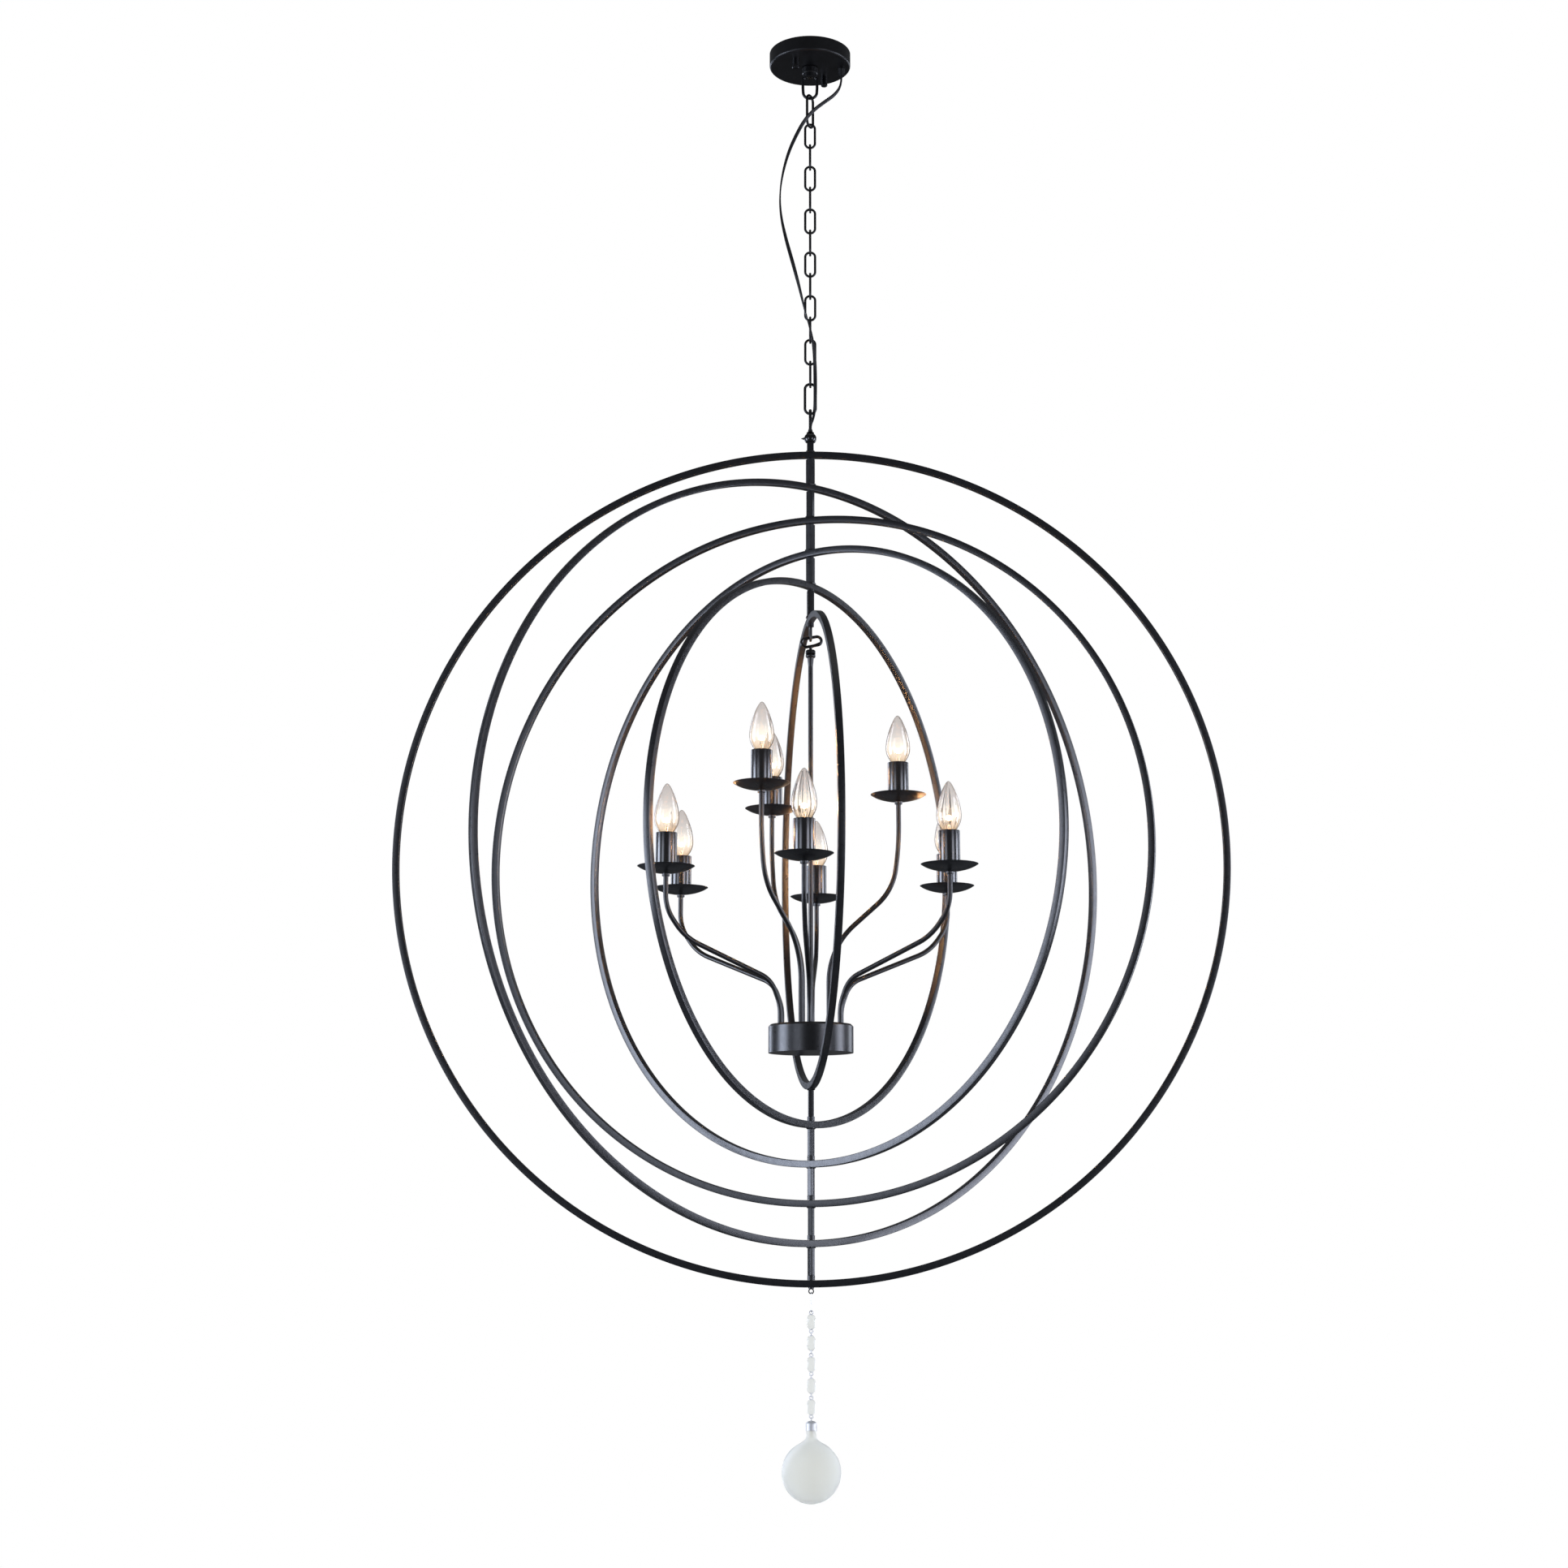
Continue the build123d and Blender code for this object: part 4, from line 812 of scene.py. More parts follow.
@dataclass(frozen=True)
class RingSet:
    """The nested square-bar rings, largest first."""

    first_radius: float = 595.0
    step: float = 52.0
    rise: float = 1.2
    bar: float = 9.5
    azimuths: tuple[float, ...] = (-0.6, 36.2, -16.8, -40.1, 57.1, -82.8)
    corner: float = 0.75
    steps: int = 420
    top_strut: float = 10.0
    bottom_strut: float = 7.6
    strut_ease: float = 0.4
    strut_bite: float = 0.2
    weld: float = 1.5
    weld_spread: float = 0.6

    def radius(self, index: int) -> float:
        """Radius of a ring's middle line."""
        return self.first_radius - self.step * index

    def centre_z(self, index: int) -> float:
        """Height of a ring's centre, measured from the largest ring's node."""
        low, _ = box_mm("ring_1")
        return low[2] + self.first_radius + self.bar / 2 + self.rise * index

    def build(self, palette: Palette) -> None:
        """Builds every ring with its struts."""
        for index, azimuth in enumerate(self.azimuths):
            self._ring(index, azimuth, palette)

    def _ring(self, index: int, azimuth: float, palette: Palette) -> None:
        """Builds one ring: the section is carried round the circle, and struts stand on it.

        With the section's a and b, a point is c + (R + a) (o cos t + z sin t) + b q, for the level
        directions o along the ring and q across it.

        Args:
            index: Which ring, from 0 for the largest.
            azimuth: Which way the ring stands, in degrees.
            palette: The finishes.
        """
        surface = Surface()
        radius, centre = self.radius(index), np.array([0.0, 0.0, self.centre_z(index)])
        out, side = level(azimuth), level(azimuth - 90)
        section, nearness = rounded_square(self.bar, self.corner)
        t = around(self.steps)
        spoke = np.cos(t)[:, None] * out + np.sin(t)[:, None] * UP
        rings = (radius + section[:, 0])[None, :, None] * spoke[:, None] + section[:, 1][None, :, None] * side
        # The corners' nearness marks where the coat paints its edge highlight.
        surface.grid(centre + rings, round_u=True, round_v=True, edge=nearness[None, :])
        low, high = box_mm(f"ring_{index + 1}")
        bar_top = centre[2] + radius + self.bar / 2
        self._strut(surface, self.top_strut, azimuth, bar_top - self.strut_bite, high[2])
        self._weld(surface, self.top_strut, azimuth, bar_top)
        if index:
            bar_bottom = centre[2] - radius - self.bar / 2
            self._strut(surface, self.bottom_strut, azimuth, low[2], bar_bottom + self.strut_bite)
            self._weld(surface, self.bottom_strut, azimuth, bar_bottom)
        name = f"square_bar_ring_{index + 1}"
        body = Body.STEM.value if index == 0 else f"ring_{index + 1}"
        obj = surface.build(name, [palette.get("satin_powder_coat")])
        settle(obj, body, Slot.BLACK_METAL, f"ring_{index + 1}")

    def _strut(self, surface: Surface, width: float, azimuth: float, bottom: float, top: float) -> None:
        """Adds an upright square strut, closed at both ends, with eased end edges.

        Args:
            surface: Takes the new points.
            width: Side of the strut.
            azimuth: Which way the ring stands, in degrees.
            bottom: Where it starts.
            top: Where it ends.
        """
        ease = self.strut_ease
        section, nearness = rounded_square(width, self.corner)
        inner, _ = rounded_square(width - 2 * ease, self.corner * 0.7)
        out, side = level(azimuth), level(azimuth - 90)
        levels = ((inner, bottom), (section, bottom + ease), (section, top - ease), (inner, top))
        rows = [shape[:, :1] * out + shape[:, 1:] * side + UP * height for shape, height in levels]
        # The corners' nearness marks where the coat paints its edge highlight.
        surface.grid(np.array(rows), round_v=True, edge=nearness[None, :])
        surface.grid(flat_end(rows[0]), round_v=True)
        surface.grid(flat_end(rows[-1]), round_v=True)

    def _weld(self, surface: Surface, width: float, azimuth: float, height: float) -> None:
        """Lays a rippled weld bead round the foot of a strut.

        Args:
            surface: Takes the new points.
            width: Side of the strut.
            azimuth: Which way the ring stands, in degrees.
            height: Where the strut meets the ring.
        """
        section, _ = rounded_square(width + self.weld_spread, width * 0.16, steps=12)
        out, side = level(azimuth), level(azimuth - 90)
        path = section[:, :1] * out + section[:, 1:] * side + UP * height
        ripple = self.weld * (0.8 + 0.2 * np.sin(np.arange(len(path)) * 1.9))
        surface.grid(tube(path, ripple, closed=True, steps=10), round_u=True, round_v=True)


# ---------------------------------------------------------------- stem eye


@dataclass(frozen=True)
class StemEye:
    """The bent-bar eye that the chain's last link holds, with a flat foot on the stem's ball."""

    bar: float = 4.6
    width: float = 19.0
    foot_spread: float = 11.2
    shoulder_rise: float = 16.5
    foot_height: float = 6.0
    foot_width: float = 7.6
    foot_taper: float = 0.38

    def build(self, palette: Palette) -> None:
        """Bends the bar upright across the front, and lofts the foot from ellipses.

        Args:
            palette: The finishes.
        """
        low, high = box_mm("stem_loop")
        seat, bend_radius = low[2], (self.width - self.bar) / 2
        crown = high[2] - self.bar / 2 - bend_radius
        foot = self.foot_spread / 2
        t = np.linspace(0, np.pi, 40)
        arc = np.stack([bend_radius * np.cos(t), crown + bend_radius * np.sin(t)], axis=-1)
        rise = np.linspace(0, 1, 12)[:, None]
        leg = (1 - rise) * [foot, seat + 1.0] + rise * [bend_radius, seat + self.shoulder_rise]
        half = np.concatenate([leg, arc, (leg * [-1, 1])[::-1]])
        path = half[:, :1] * level(90) + half[:, 1:] * UP
        surface = Surface()
        surface.grid(tube(path, self.bar / 2, steps=20), round_v=True)
        t = around(48)
        rows = []
        for share in (0.0, 0.12, 0.4, 0.7, 0.9, 1.0):
            across = self.foot_width / 2 * (1 - self.foot_taper * share**2)
            deep = (foot + self.bar / 2) * (1 - 0.1 * share**3)
            ring = across * np.cos(t)[:, None] * level(0) + deep * np.sin(t)[:, None] * level(90)
            rows.append(ring + UP * (seat + self.foot_height * share))
        surface.grid(np.array(rows), round_v=True)
        surface.grid(flat_end(rows[0]), round_v=True)
        surface.grid(flat_end(rows[-1]), round_v=True)
        obj = surface.build("forged_stem_eye", [palette.get("matt_lacquer")])
        settle(obj, Body.STEM.value, Slot.BLACK_METAL, "stem_loop")


# ---------------------------------------------------------------- candles


@dataclass(frozen=True)
class Tier:
    """One ring of candles: how many, how far out, and how high their pans' rims are."""

    count: int
    radius: float
    rim_z: float
    first: float

    def places(self) -> list[Point]:
        """Where the tier's pans have the middle of their rims."""
        angles = [self.first + 360 / self.count * n for n in range(self.count)]
        return [(*(level(angle)[:2] * self.radius), self.rim_z) for angle in angles]


@dataclass(frozen=True)
class Candles:
    """Drip pans, sleeves and bulbs of both tiers. Heights are from the middle of a pan's rim."""

    tiers: tuple[Tier, ...] = (Tier(6, 226.7, -1287.5, 28.1), Tier(3, 126.3, -1171.0, -2.6))
    pan_radius: float = 40.0
    pan_depth: float = 10.5
    pan_seat: float = 0.7
    collar_radius: float = 5.5
    collar_drop: float = 4.0
    sleeve_radius: float = 15.0
    sleeve_wall: float = 1.0
    sleeve_top: float = 46.0
    bulb_radius: float = 17.5
    bulb_tip: float = 115.5
    bulb_neck: float = 6.7
    bulb_neck_z: float = 39.8
    bulb_foot: float = 15.8
    glass: float = 0.7
    flutes: int = 12
    flute_depth: float = 0.16
    turn_steps: int = 96
    thread_radius: float = 6.55
    thread_depth: float = 0.4
    stem_profile: tuple[tuple[float, float], ...] = (
        (3.4, -4),
        (3.2, 3),
        (1.9, 7),
        (1.7, 13),
        (0.9, 15),
        (AXIS, 15.4),
    )
    hook_rise: float = 21.0
    hook_spread: float = 4.6
    lead_wire: float = 0.22
    arch_rise: float = 5.5
    coil_turns: int = 34
    coil_radius: float = 0.55
    coil_wire: float = 0.16
    flame_rise: float = 24.0

    def places(self) -> list[Point]:
        """Where all candles stand."""
        return [place for tier in self.tiers for place in tier.places()]

    def build(self, palette: Palette) -> None:
        """Builds the five kinds of candle piece, each for all candles.

        Args:
            palette: The finishes.
        """
        pans, tubes, caps, glass, wires = (Surface() for _ in range(5))
        for place in self.places():
            self._pan(pans, place)
            self._sleeve(tubes, place)
            self._cap(caps, place)
            self._envelope(glass, place)
            self._filament(wires, place)
        pieces = (
            (pans, "spun_drip_pans", ["satin_powder_coat"], Slot.BLACK_METAL, ["drip_pans"]),
            (tubes, "candle_tubes", ["sleeve_enamel"], Slot.SLEEVE_BLACK, ["candle_sleeves"]),
            (glass, "bulb_envelopes", ["lamp_glass"], Slot.CLEAR_GLASS, ["bulbs"]),
            (caps, "bulb_screw_caps", ["brass_cap"], Slot.BRIGHT_METAL, []),
            (wires, "bulb_filaments", ["lit_filament", "bright_nickel", "stem_glass"], Slot.BRIGHT_METAL, []),
        )
        for surface, name, finishes, slot, nodes in pieces:
            obj = surface.build(name, [palette.get(finish) for finish in finishes])
            settle(obj, Body.CLUSTER.value, slot, *nodes)

    def _pan(self, surface: Surface, place: Point) -> None:
        """A spun dish with a rolled rim, a turned seat for the sleeve and a collar below.

        Args:
            surface: Takes the new points.
            place: The middle of the pan's rim.
        """
        rim, deep, collar = self.pan_radius, self.pan_depth, self.collar_radius
        foot, seat = -deep - self.collar_drop, -deep * self.pan_seat
        under = [(AXIS, foot, 0), (collar, foot, 0.6), (collar, -deep, 0.8), (7, -deep, 0.5)]
        bowl = [(16, -deep * 0.9, 9), (28, -deep * 0.62, 8), (36.5, -deep * 0.26, 4), (rim - 0.8, -0.6, 0.5)]
        lip = [(rim, -0.5, 0.5), (rim, 0.0, 0.4), (rim - 1.2, 0.0, 0.4), (rim - 2.2, -0.9, 0.8)]
        inside = [(30, -deep * 0.42, 7), (20, -deep * 0.66, 4), (16.4, seat, 0.4), (AXIS, seat, 0)]
        profile = rounded([*under, *bowl, *lip, *inside], steps=6)
        surface.grid(turned(profile, place, steps=112), round_v=True)

    def _sleeve(self, surface: Surface, place: Point) -> None:
        """A thin tube with eased lips, open at the top, that stands on the pan's seat.

        Args:
            surface: Takes the new points.
            place: The middle of the pan's rim.
        """
        outer, inner, top = self.sleeve_radius, self.sleeve_radius - self.sleeve_wall, self.sleeve_top
        low = -self.pan_depth * self.pan_seat + 0.2
        outside = [(inner, low, 0), (outer, low, 0.2), (outer, top, 0.4), (inner, top, 0.4)]
        profile = rounded([*outside, (inner, top - 12, 0), (inner, low, 0)])
        surface.grid(turned(profile, place, self.turn_steps), round_v=True)

    def _cap(self, surface: Surface, place: Point) -> None:
        """The bulb's screw cap: a thread whose radius swings with height, and a flared skirt.

        Args:
            surface: Takes the new points.
            place: The middle of the pan's rim.
        """
        neck = self.bulb_neck_z
        heights = np.linspace(self.bulb_foot, neck - 3, 44)
        thread = self.thread_radius + self.thread_depth * np.sin(heights * 2.2)
        skirt = [(6.9, neck - 2), (7.15, neck + 1.5), (6.4, neck + 1.7)]
        profile = [(AXIS, self.bulb_foot), *zip(thread, heights), *skirt]
        surface.grid(turned(profile, place, steps=48), round_v=True)

    def _outline(self, inset: float) -> np.ndarray:
        """The bulb's outline as radius and height, moved inwards by an inset.

        Args:
            inset: How far the skin lies inside the outer one.

        Returns:
            Points, n by two.
        """
        neck, belly = self.bulb_neck - inset, self.bulb_radius - inset
        low, tip = self.bulb_neck_z, self.bulb_tip - inset
        rise = tip - low
        middle = low + rise * 0.36
        lower = [(neck, low), (neck, low + rise * 0.08), (belly, middle - rise * 0.2), (belly, middle)]
        upper = [(belly, middle), (belly, middle + rise * 0.24), (belly * 0.5, tip - rise * 0.16)]
        upper += [(belly * 0.26, tip), (AXIS, tip)]
        return np.concatenate([bend(lower, 18), bend(upper, 26)[1:]])

    def _envelope(self, surface: Surface, place: Point) -> None:
        """The glass: an outer and an inner skin joined at the neck, the outer one faintly fluted.

        Args:
            surface: Takes the new points.
            place: The middle of the pan's rim.
        """
        outer, inner = self._outline(0.0), self._outline(self.glass)
        points = turned(np.concatenate([inner[::-1], outer]), steps=self.turn_steps)
        t = around(self.turn_steps)
        flute = 1 - self.flute_depth / self.bulb_radius * (0.5 - 0.5 * np.cos(self.flutes * t))
        points[len(inner) :, :, :2] *= flute[None, :, None]
        height = (points[..., 2] - self.bulb_neck_z) / (self.bulb_tip - self.bulb_neck_z)
        surface.grid(points + np.array(place), round_v=True, edge=height)

    def _filament(self, surface: Surface, place: Point) -> None:
        """A coiled filament bent to an arch (w cos a, 0, h sin a), on two leads over a glass stem.

        Args:
            surface: Takes the new points.
            place: The middle of the pan's rim.
        """
        base, foot, spread = np.array(place), self.bulb_neck_z, self.hook_spread
        hook = foot + self.hook_rise
        stem = [(radius, foot + rise) for radius, rise in self.stem_profile]
        surface.grid(turned(stem, place, steps=28), round_v=True, slot=2)
        for sign in (-1, 1):
            lead = [(sign * 1.0, 0, foot + 8), (sign * 2.2, 0, foot + 14), (sign * spread, 0, hook)]
            surface.grid(tube(base + bend(lead, 14), self.lead_wire, steps=8), round_v=True, slot=1)
        t = np.linspace(0, 1, 260)
        a = np.pi * t
        arch = np.stack([spread * np.cos(a), 0 * t, hook + self.arch_rise * np.sin(a)], axis=-1)
        across, beyond = frames_along(arch)
        turn = (2 * np.pi * self.coil_turns * t)[:, None]
        coil = arch + self.coil_radius * (np.cos(turn) * across + np.sin(turn) * beyond)
        surface.grid(tube(base + coil, self.coil_wire, steps=6), round_v=True, slot=0)


# ---------------------------------------------------------------- bead string and ball


@dataclass(frozen=True)
class BeadString:
    """Cut beads on wire pins, and the etched ball under its cap.

    The cut gives the height and the radius of each ring of corners, as shares of length and width.
    The cup gives radius and rise of a pin's cup over the bead's end.
    """

    count: int = 5
    width: float = 13.0
    length: float = 19.0
    facets: int = 8
    cut: tuple[tuple[float, float], ...] = (
        (-0.5, 0.2),
        (-0.4, 0.39),
        (-0.18, 0.495),
        (0.18, 0.495),
        (0.4, 0.39),
        (0.5, 0.2),
    )
    cup: tuple[tuple[float, float], ...] = (
        (0.7, -0.3),
        (2.3, -0.4),
        (2.4, 0.1),
        (1.6, 0.9),
        (0.7, 1.2),
    )
    pin: float = 1.2
    eye: float = 6.0
    ball_radius: float = 40.0
    ball_wall: float = 2.5
    neck_radius: float = 7.0
    flare_radius: float = 19.0
    flare_rise: float = 6.5
    cap_height: float = 12.0

    def build(self, palette: Palette) -> None:
        """Builds the beads, their pins, the cap and the ball.

        Args:
            palette: The finishes.
        """
        for n in range(1, self.count + 1):
            self._bead(n, palette)
            self._pin(n, palette)
        self._ball(palette)
        self._cap(palette)

    def _bead(self, n: int, palette: Palette) -> None:
        """A bead cut in rings of facets, each ring turned half a facet from the last.

        Args:
            n: Which bead, from 1 at the top.
            palette: The finishes.
        """
        low, high = box_mm(f"bead_{n}")
        heights, shares = np.array(self.cut).T
        offset = 0.5 * (np.arange(len(heights)) % 2)
        t = (np.arange(self.facets) + offset[:, None]) * 2 * np.pi / self.facets
        r = (shares * self.width)[:, None]
        z = np.broadcast_to((heights * self.length + (low[2] + high[2]) / 2)[:, None], t.shape)
        rows = np.stack([r * np.cos(t), r * np.sin(t), z], axis=-1)
        surface = Surface()
        for lower, upper in zip(rows, rows[1:]):
            surface.grid(np.array([lower, upper]), round_v=True)
        surface.grid(flat_end(rows[0]), round_v=True)
        surface.grid(flat_end(rows[-1]), round_v=True)
        bead = surface.build(f"cut_bead_{n}", [palette.get("cut_crystal")], smooth=False)
        settle(bead, f"bead_{n}", Slot.CLEAR_GLASS, f"bead_{n}")

    def _pin(self, n: int, palette: Palette) -> None:
        """A bead's pin: an eye at both ends, two shanks, and a cup on each end of the bead.

        Args:
            n: Which bead, from 1 at the top.
            palette: The finishes.
        """
        low, high = box_mm(f"bead_{n}")
        middle, end = (low[2] + high[2]) / 2, self.length / 2
        top, bottom = high[2] - self.eye / 2, low[2] + self.eye / 2
        reach = (self.eye - self.pin) / 2
        wire = Surface()
        for height in (top, bottom):
            self._eye(wire, 0 if n % 2 else 90, height)
        for start, stop in ((top - reach, middle + end), (middle - end, bottom + reach)):
            shank = np.linspace([0, 0, stop], [0, 0, start], 6)
            wire.grid(tube(shank, self.pin / 2, steps=12), round_v=True)
        for sign in (-1, 1):
            cup = [(radius, sign * (end + rise)) for radius, rise in self.cup]
            wire.grid(turned(cup, (0, 0, middle), steps=24), round_v=True)
        pins = wire.build(f"eye_pin_{n}", [palette.get("silvered_wire")])
        settle(pins, f"bead_{n}", Slot.BRIGHT_METAL)

    def _eye(self, surface: Surface, azimuth: float, height: float) -> None:
        """A closed wire eye on the axis of the light, upright across an azimuth.

        Args:
            surface: Takes the new points.
            azimuth: Which way it stands, in degrees.
            height: Where its middle is.
        """
        t = around(40)[:, None]
        circle = (self.eye - self.pin) / 2 * (np.cos(t) * level(azimuth) + np.sin(t) * UP) + UP * height
        surface.grid(tube(circle, self.pin / 2, closed=True, steps=12), round_u=True, round_v=True)

    def _ball(self, palette: Palette) -> None:
        """A blown sphere x² + y² + z² = R² that flares into a neck, with an inner skin inside it.

        Args:
            palette: The finishes.
        """
        low, high = box_mm("glass_ball")
        centre = low[2] + self.ball_radius
        skins = []
        for inset in (0.0, self.ball_wall):
            r, neck = self.ball_radius - inset, self.neck_radius - inset
            start = math.acos(self.flare_radius / r)
            a = np.linspace(-math.pi / 2, start, 70)
            arc = np.stack([np.maximum(r * np.cos(a), AXIS), r * np.sin(a)], axis=-1)
            across, up = arc[-1]
            top = self.ball_radius + self.flare_rise
            pulls = [(across, up), (across - 9 * math.sin(start), up + 9 * math.cos(start)), (neck, top - 5)]
            flare = bend([*pulls, (neck, top)], 14)
            skins.append(np.concatenate([arc, flare[1:], [(neck, high[2] - centre)]]))
        surface = Surface()
        profile = np.concatenate([skins[0], skins[1][::-1]])
        surface.grid(turned(profile, (0, 0, centre), steps=128), round_v=True)
        ball = surface.build("etched_ball", [palette.get("etched_glass")])
        settle(ball, Body.BALL.value, Slot.FROSTED_GLASS, "glass_ball")

    def _cap(self, palette: Palette) -> None:
        """A pressed cap with a rolled lower lip and a soldered eye.

        Args:
            palette: The finishes.
        """
        low, high = box_mm("ball_cap")
        r, bottom = (high[0] - low[0]) / 2, low[2]
        top = bottom + self.cap_height
        shell = [(r - 1.2, bottom, 0), (r - 0.2, bottom, 0.3), (r, bottom + 0.8, 0.6)]
        shell += [(r - 0.3, bottom + 1.8, 0.4), (r - 0.3, top - 2.4, 2.0), (r - 3.0, top, 1.6)]
        shell += [(2.2, top, 0.5), (1.6, top + 0.8, 0.4), (AXIS, top + 0.9, 0)]
        surface = Surface()
        surface.grid(turned(rounded(shell), steps=72), round_v=True)
        self._eye(surface, 90 if self.count % 2 else 0, high[2] - self.eye / 2)
        cap = surface.build("pressed_ball_cap", [palette.get("satin_silver")])
        settle(cap, Body.BALL.value, Slot.BRIGHT_METAL, "ball_cap")


# ---------------------------------------------------------------- supply cord


@dataclass(frozen=True)
class SupplyCord:
    """The cord from the canopy's gland to the stem, in stretches that follow the chain."""

    width: float = 5.6
    thickness: float = 2.9
    groove: float = 0.22
    wide_z: float = -139.0
    turn_length: float = 400.0
    gland_length: float = 25.0
    links: int = 14
    route: tuple[Point, ...] = (
        (49, 0, -37.3),
        (49, 0, -52),
        (39, -7, -72),
        (22, -14, -88),
        (5, -18.5, -104),
        (-9, -18, -121),
        (-21, -13, -142),
        (-32.5, -10, -168),
        (-41, -9.5, -199),
        (-46.5, -9, -235),
        (-45.5, -9.5, -272),
        (-37.5, -10, -312),
        (-27, -11, -351),
        (-16.5, -13, -393),
        (-8, -15, -433),
        (2.5, -15, -470),
        (6.8, -9, -503),
        (7.6, -7, -541),
        (7.4, -6.8, -576),
        (5.4, -3.4, -598),
        (0, 0, -611),
        (0, 0, -625),
    )

    def centreline(self) -> np.ndarray:
        """Points read from the route's spline.

        Returns:
            Points along the cord, in millimetres.
        """
        curve = bpy.data.curves.new("cord_route", "CURVE")
        curve.dimensions = "3D"
        spline = curve.splines.new("NURBS")
        spline.points.add(len(self.route) - 1)
        for point, place in zip(spline.points, self.route):
            point.co = (*[c * MM for c in place], 1.0)
        spline.order_u = 3
        spline.use_endpoint_u = True
        spline.resolution_u = 24
        carrier = new_object("cord_route", curve)
        mesh = bpy.data.meshes.new_from_object(carrier)
        points = np.array([v.co for v in mesh.vertices]) / MM
        bpy.data.objects.remove(carrier)
        bpy.data.meshes.remove(mesh)
        bpy.data.curves.remove(curve)
        return points

    def _sheath(self, line: np.ndarray) -> np.ndarray:
        """A flat twin sheath that twists as it hangs.

        The section is x = a cos t, y = b sin t (1 - g exp(-(x / b)²)) with a groove g between its
        two cores. It is turned by 2 pi (z0 - z) / L at height z, and is rounder inside the gland.

        Args:
            line: The middle line, n by three.

        Returns:
            Points, line by section by three.
        """
        tangent = np.gradient(line, axis=0)
        tangent /= np.linalg.norm(tangent, axis=1, keepdims=True)
        side = level(0) - tangent[:, :1] * tangent
        side /= np.linalg.norm(side, axis=1, keepdims=True)
        other = np.cross(tangent, side)
        turn = (2 * np.pi * (self.wide_z - line[:, 2]) / self.turn_length)[:, None]
        wide = np.cos(turn) * side + np.sin(turn) * other
        thin = np.cross(tangent, wide)
        t = around(28)
        along = np.linalg.norm(np.diff(line, axis=0, prepend=line[:1]), axis=1).cumsum()
        loose = np.clip(along / self.gland_length, 0, 1)[:, None]
        a = self.width / 2 * (0.8 + 0.2 * loose)
        b = self.thickness / 2 * (1.45 - 0.45 * loose)
        x = a * np.cos(t)
        y = b * np.sin(t) * (1 - self.groove * np.exp(-((x / b) ** 2)))
        return line[:, None] + x[..., None] * wide[:, None] + y[..., None] * thin[:, None]

    def build(self, palette: Palette) -> None:
        """Builds the cord in stretches that end at the middles of the links.

        Args:
            palette: The finishes.
        """
        line = self.centreline()
        skin = self._sheath(line)
        middles = [sum(box_mm(f"chain_link_{n:02d}"))[2] / 2 for n in range(1, self.links + 1)]
        cuts = [0, *[int(np.argmin(np.abs(line[:, 2] - z))) for z in middles], len(line) - 1]
        for n, (start, end) in enumerate(zip(cuts, cuts[1:]), start=1):
            surface = Surface()
            surface.grid(skin[start : end + 1], round_v=True)
            obj = surface.build(f"supply_cord_{n:02d}", [palette.get("cord_sheath")], weld=False)
            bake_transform(obj)
            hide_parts("supply_cord")


# ---------------------------------------------------------------- kept nodes


GLOSSY_NODES = {"stem_ball", "rod_coupler", "cap_nuts", "cluster_shackle"}
MATT_NODES = {"canopy", "canopy_collar", "canopy_loop", "cord_gland"}
SLOT_FINISH = {
    Slot.BLACK_METAL: "satin_powder_coat",
    Slot.PLATED_STEEL: "zinc_plate",
    Slot.BLACK_CORD: "cord_sheath",
    Slot.BLACK_PLASTIC: "moulded_phenolic",
    Slot.CLEAR_GLASS: "lamp_glass",
    Slot.BRIGHT_METAL: "bright_nickel",
    Slot.FROSTED_GLASS: "etched_glass",
    Slot.SLEEVE_BLACK: "sleeve_enamel",
}


def coat_nodes(palette: Palette) -> None:
    """Gives each kept node the finish of its slot, or that of its own group.

    Args:
        palette: The finishes.
    """
    for part in frame["record"]["subparts"]:
        name = part["node"]
        finish = SLOT_FINISH[Slot(part["material_slot"])]
        if name in GLOSSY_NODES:
            finish = "gloss_powder_coat"
        elif name in MATT_NODES or name.startswith("chain_link"):
            finish = "matt_lacquer"
        obj = frame["nodes"][name]
        if not obj.material_slots:
            obj.data.materials.append(palette.get(finish))
        for slot in obj.material_slots:
            slot.material = palette.get(finish)


# ---------------------------------------------------------------- studio


@dataclass(frozen=True)
class Softbox:
    """A rectangular area light aimed at the middle of the rings. Places and sizes are in metres."""

    name: str
    place: Point
    width: float
    height: float
    power: float
    colour: str = "#ffffff"
    target: Point = (0.0, 0.0, -1.25)

    def build(self) -> None:
        """Adds the light."""
        lamp = bpy.data.lights.new(self.name, "AREA")
        lamp.shape = "RECTANGLE"
        lamp.size, lamp.size_y = self.width, self.height
        lamp.energy = self.power
        lamp.color = linear(self.colour)[:3]
        obj = new_object(self.name, lamp)
        obj.location = self.place
        obj.rotation_euler = (Vector(self.target) - obj.location).to_track_quat("-Z", "Y").to_euler()
        obj.visible_camera = False


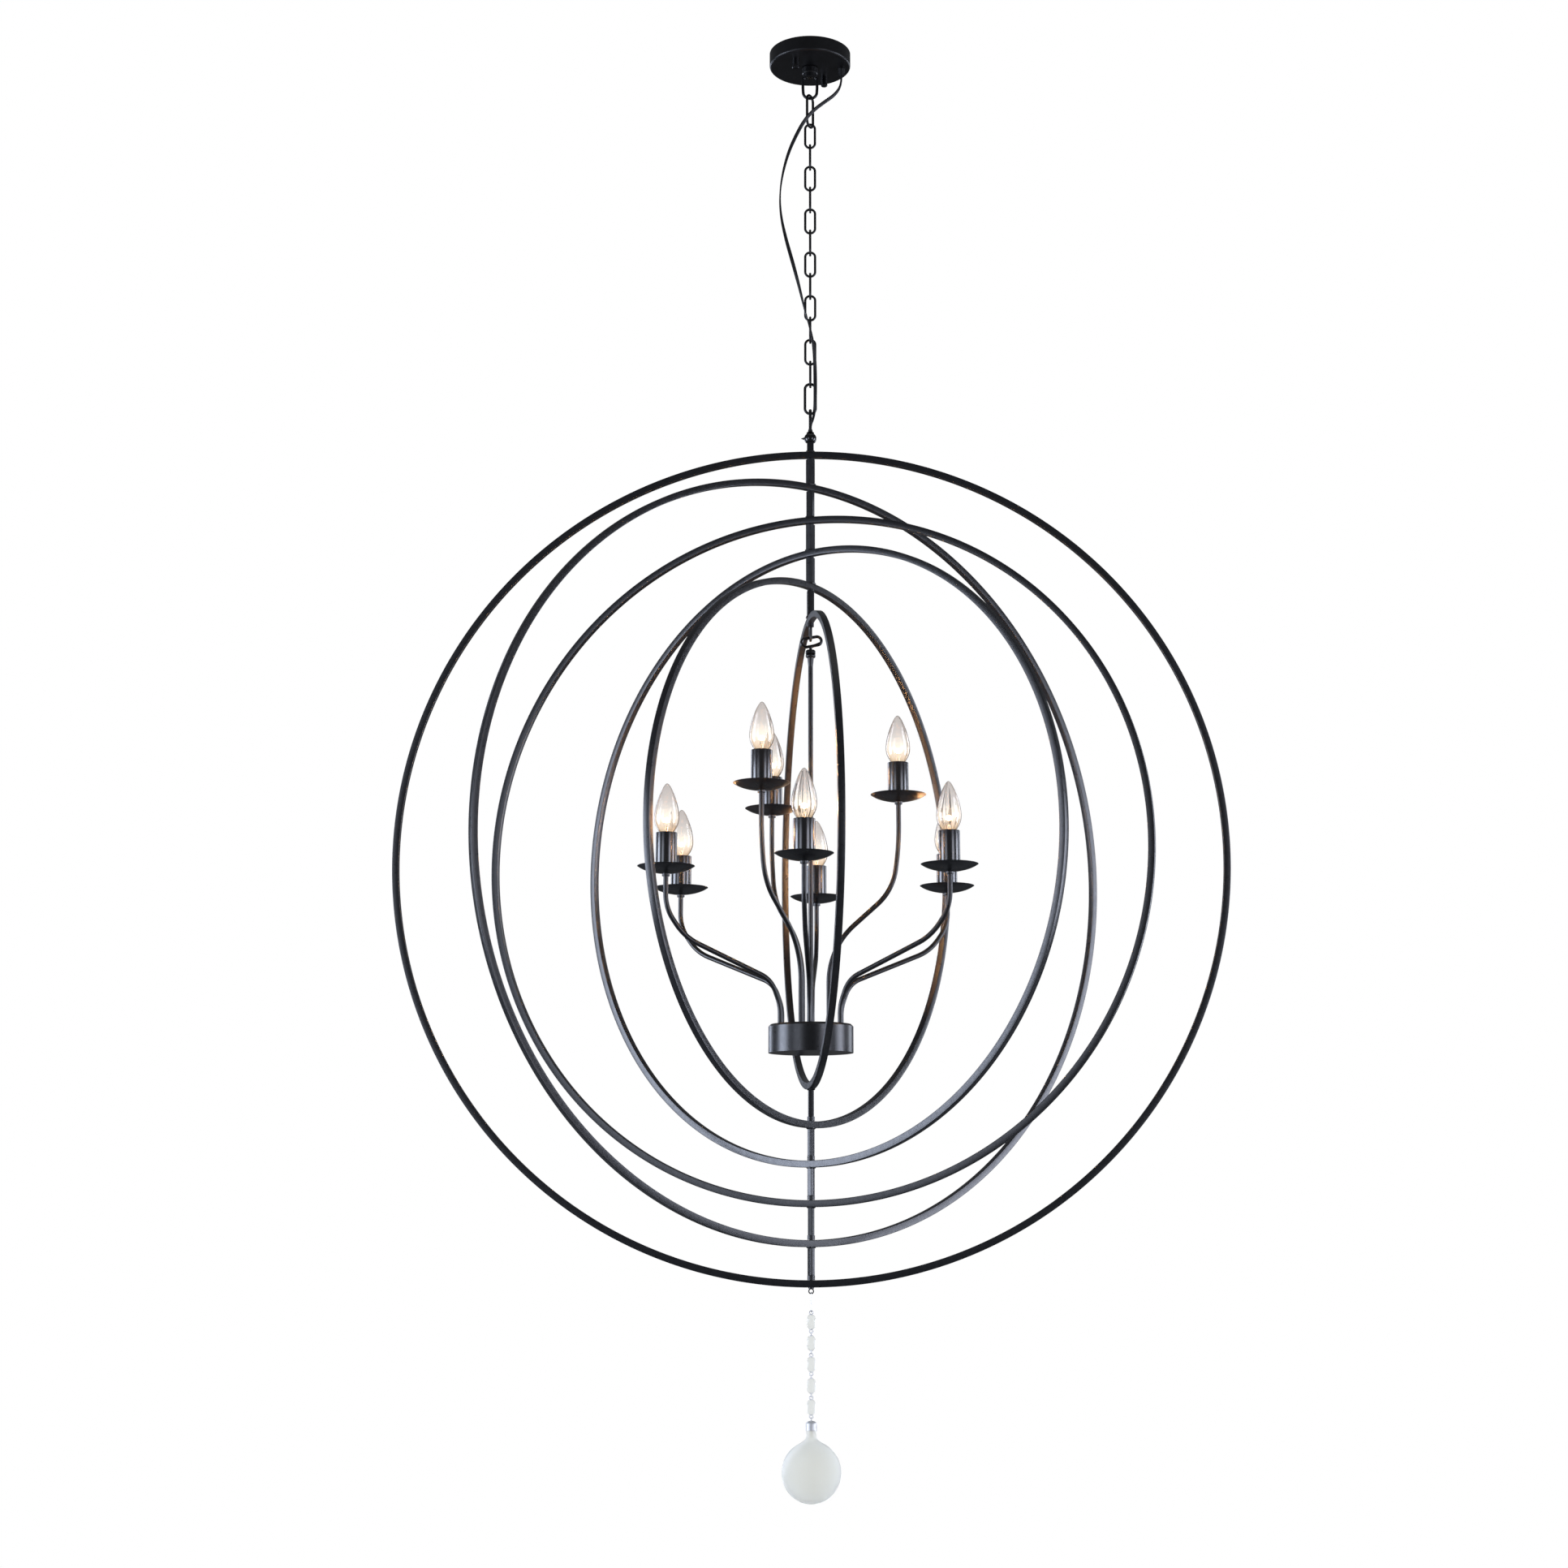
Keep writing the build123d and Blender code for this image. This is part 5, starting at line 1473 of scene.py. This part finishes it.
@dataclass(frozen=True)
class Studio:
    """Camera, softboxes, pale floor and white surround, placed in metres. Angles are in degrees."""

    eye: Point = (0.0197, -3.448, -1.761)
    pitch: float = 14.79
    roll: float = -0.14
    lens: float = 55.51
    shift_x: float = -0.0254
    shift_y: float = -0.1299
    sensor: float = 36.0
    floor_z: float = -3.0
    floor_half: float = 9.0
    sky: str = "#eef1f6"
    sky_light: float = 0.08
    sky_mirrored: float = 0.13
    boxes: tuple[Softbox, ...] = (
        Softbox("strip_left", (-3.8, -0.6, -1.5), 1.8, 2.2, 115.0, "#dfe9ff"),
        Softbox("strip_right", (3.8, -0.3, -1.5), 1.5, 2.2, 85.0, "#e6ecff"),
        Softbox("front_left", (-2.6, -3.6, -1.3), 1.6, 2.2, 32.0, "#e4ecff"),
        Softbox("front_right", (2.8, -3.4, -1.3), 1.6, 2.2, 50.0, "#e9edff"),
        Softbox("back_left", (-2.4, 3.0, -0.8), 1.0, 2.6, 36.0, "#dfe9ff"),
        Softbox("back_right", (2.8, 2.6, -0.9), 1.0, 2.6, 32.0, "#e8efff"),
        Softbox("overhead", (0.2, -0.4, 2.2), 2.4, 2.4, 5.0),
    )
    flames: float = 0.45

    def build(self) -> None:
        """Builds the studio."""
        self._camera()
        for box in self.boxes:
            box.build()
        self._surround()
        self._floor()
        scene = bpy.context.scene
        scene.view_settings.view_transform = "Standard"

    def _camera(self) -> None:
        """The camera that the photograph's ellipses give."""
        data = bpy.data.cameras.new("camera")
        data.sensor_width = self.sensor
        data.lens = self.lens
        data.shift_x, data.shift_y = self.shift_x, self.shift_y
        obj = new_object("camera", data)
        obj.location = self.eye
        tilt = Euler((math.radians(90 + self.pitch), 0, 0)).to_matrix()
        spin = Euler((0, 0, math.radians(self.roll))).to_matrix()
        obj.rotation_euler = (tilt @ spin).to_euler()
        bpy.context.scene.camera = obj

    def _surround(self) -> None:
        """White past and through the object, and a dim studio to everything that it lights."""
        world = bpy.data.worlds.new("surround")
        world.use_nodes = True
        tree = world.node_tree
        tree.nodes.clear()
        path = add_node(tree, "LightPath")
        soft = add_node(tree, "Background", {"Color": linear(self.sky), "Strength": self.sky_light})
        pale = add_node(tree, "Background", {"Color": linear(self.sky), "Strength": self.sky_mirrored})
        white = add_node(tree, "Background", {"Color": WHITE, "Strength": 1.0})
        mirrored = {0: path.outputs["Is Glossy Ray"], 1: soft.outputs[0], 2: pale.outputs[0]}
        round_about = add_node(tree, "MixShader", mirrored)
        ends = {0: seen(tree, path), 1: round_about.outputs[0], 2: white.outputs[0]}
        mix = add_node(tree, "MixShader", ends)
        add_node(tree, "OutputWorld", {"Surface": mix.outputs[0]})
        bpy.context.scene.world = world

    def _floor(self) -> None:
        """A plain pale floor well under the ball."""
        mesh = bpy.data.meshes.new("floor")
        s, z = self.floor_half, self.floor_z
        mesh.from_pydata([(-s, -s, z), (s, -s, z), (s, s, z), (-s, s, z)], [], [(0, 1, 2, 3)])
        mesh.materials.append(PaleFloor("pale_floor").build())
        obj = new_object("floor", mesh)


def candle_light(candles: Candles, power: float) -> None:
    """Puts a small warm lamp in each bulb, which moves with the cluster.

    Args:
        candles: The candles, for their places.
        power: Watts of each lamp.
    """
    for n, (x, y, rim) in enumerate(candles.places(), start=1):
        lamp = bpy.data.lights.new(f"flame_{n}", "POINT")
        lamp.energy = power
        lamp.color = linear("#ffb978")[:3]
        lamp.shadow_soft_size = 4 * MM
        obj = new_object(f"flame_{n}", lamp)
        obj.location = (x * MM, y * MM, (rim + candles.bulb_neck_z + candles.flame_rise) * MM)
        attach(obj, Body.CLUSTER.value)


def main() -> None:
    """Dresses the light and sets up the photograph."""
    logging.basicConfig(level=logging.INFO)
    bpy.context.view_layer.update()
    palette = Palette()
    coat_nodes(palette)
    studio = Studio()
    studio.build()
    SupplyCord().build(palette)
    RingSet().build(palette)
    StemEye().build(palette)
    candles = Candles()
    candles.build(palette)
    candle_light(candles, studio.flames)
    BeadString().build(palette)


if __name__ == "__main__":
    main()
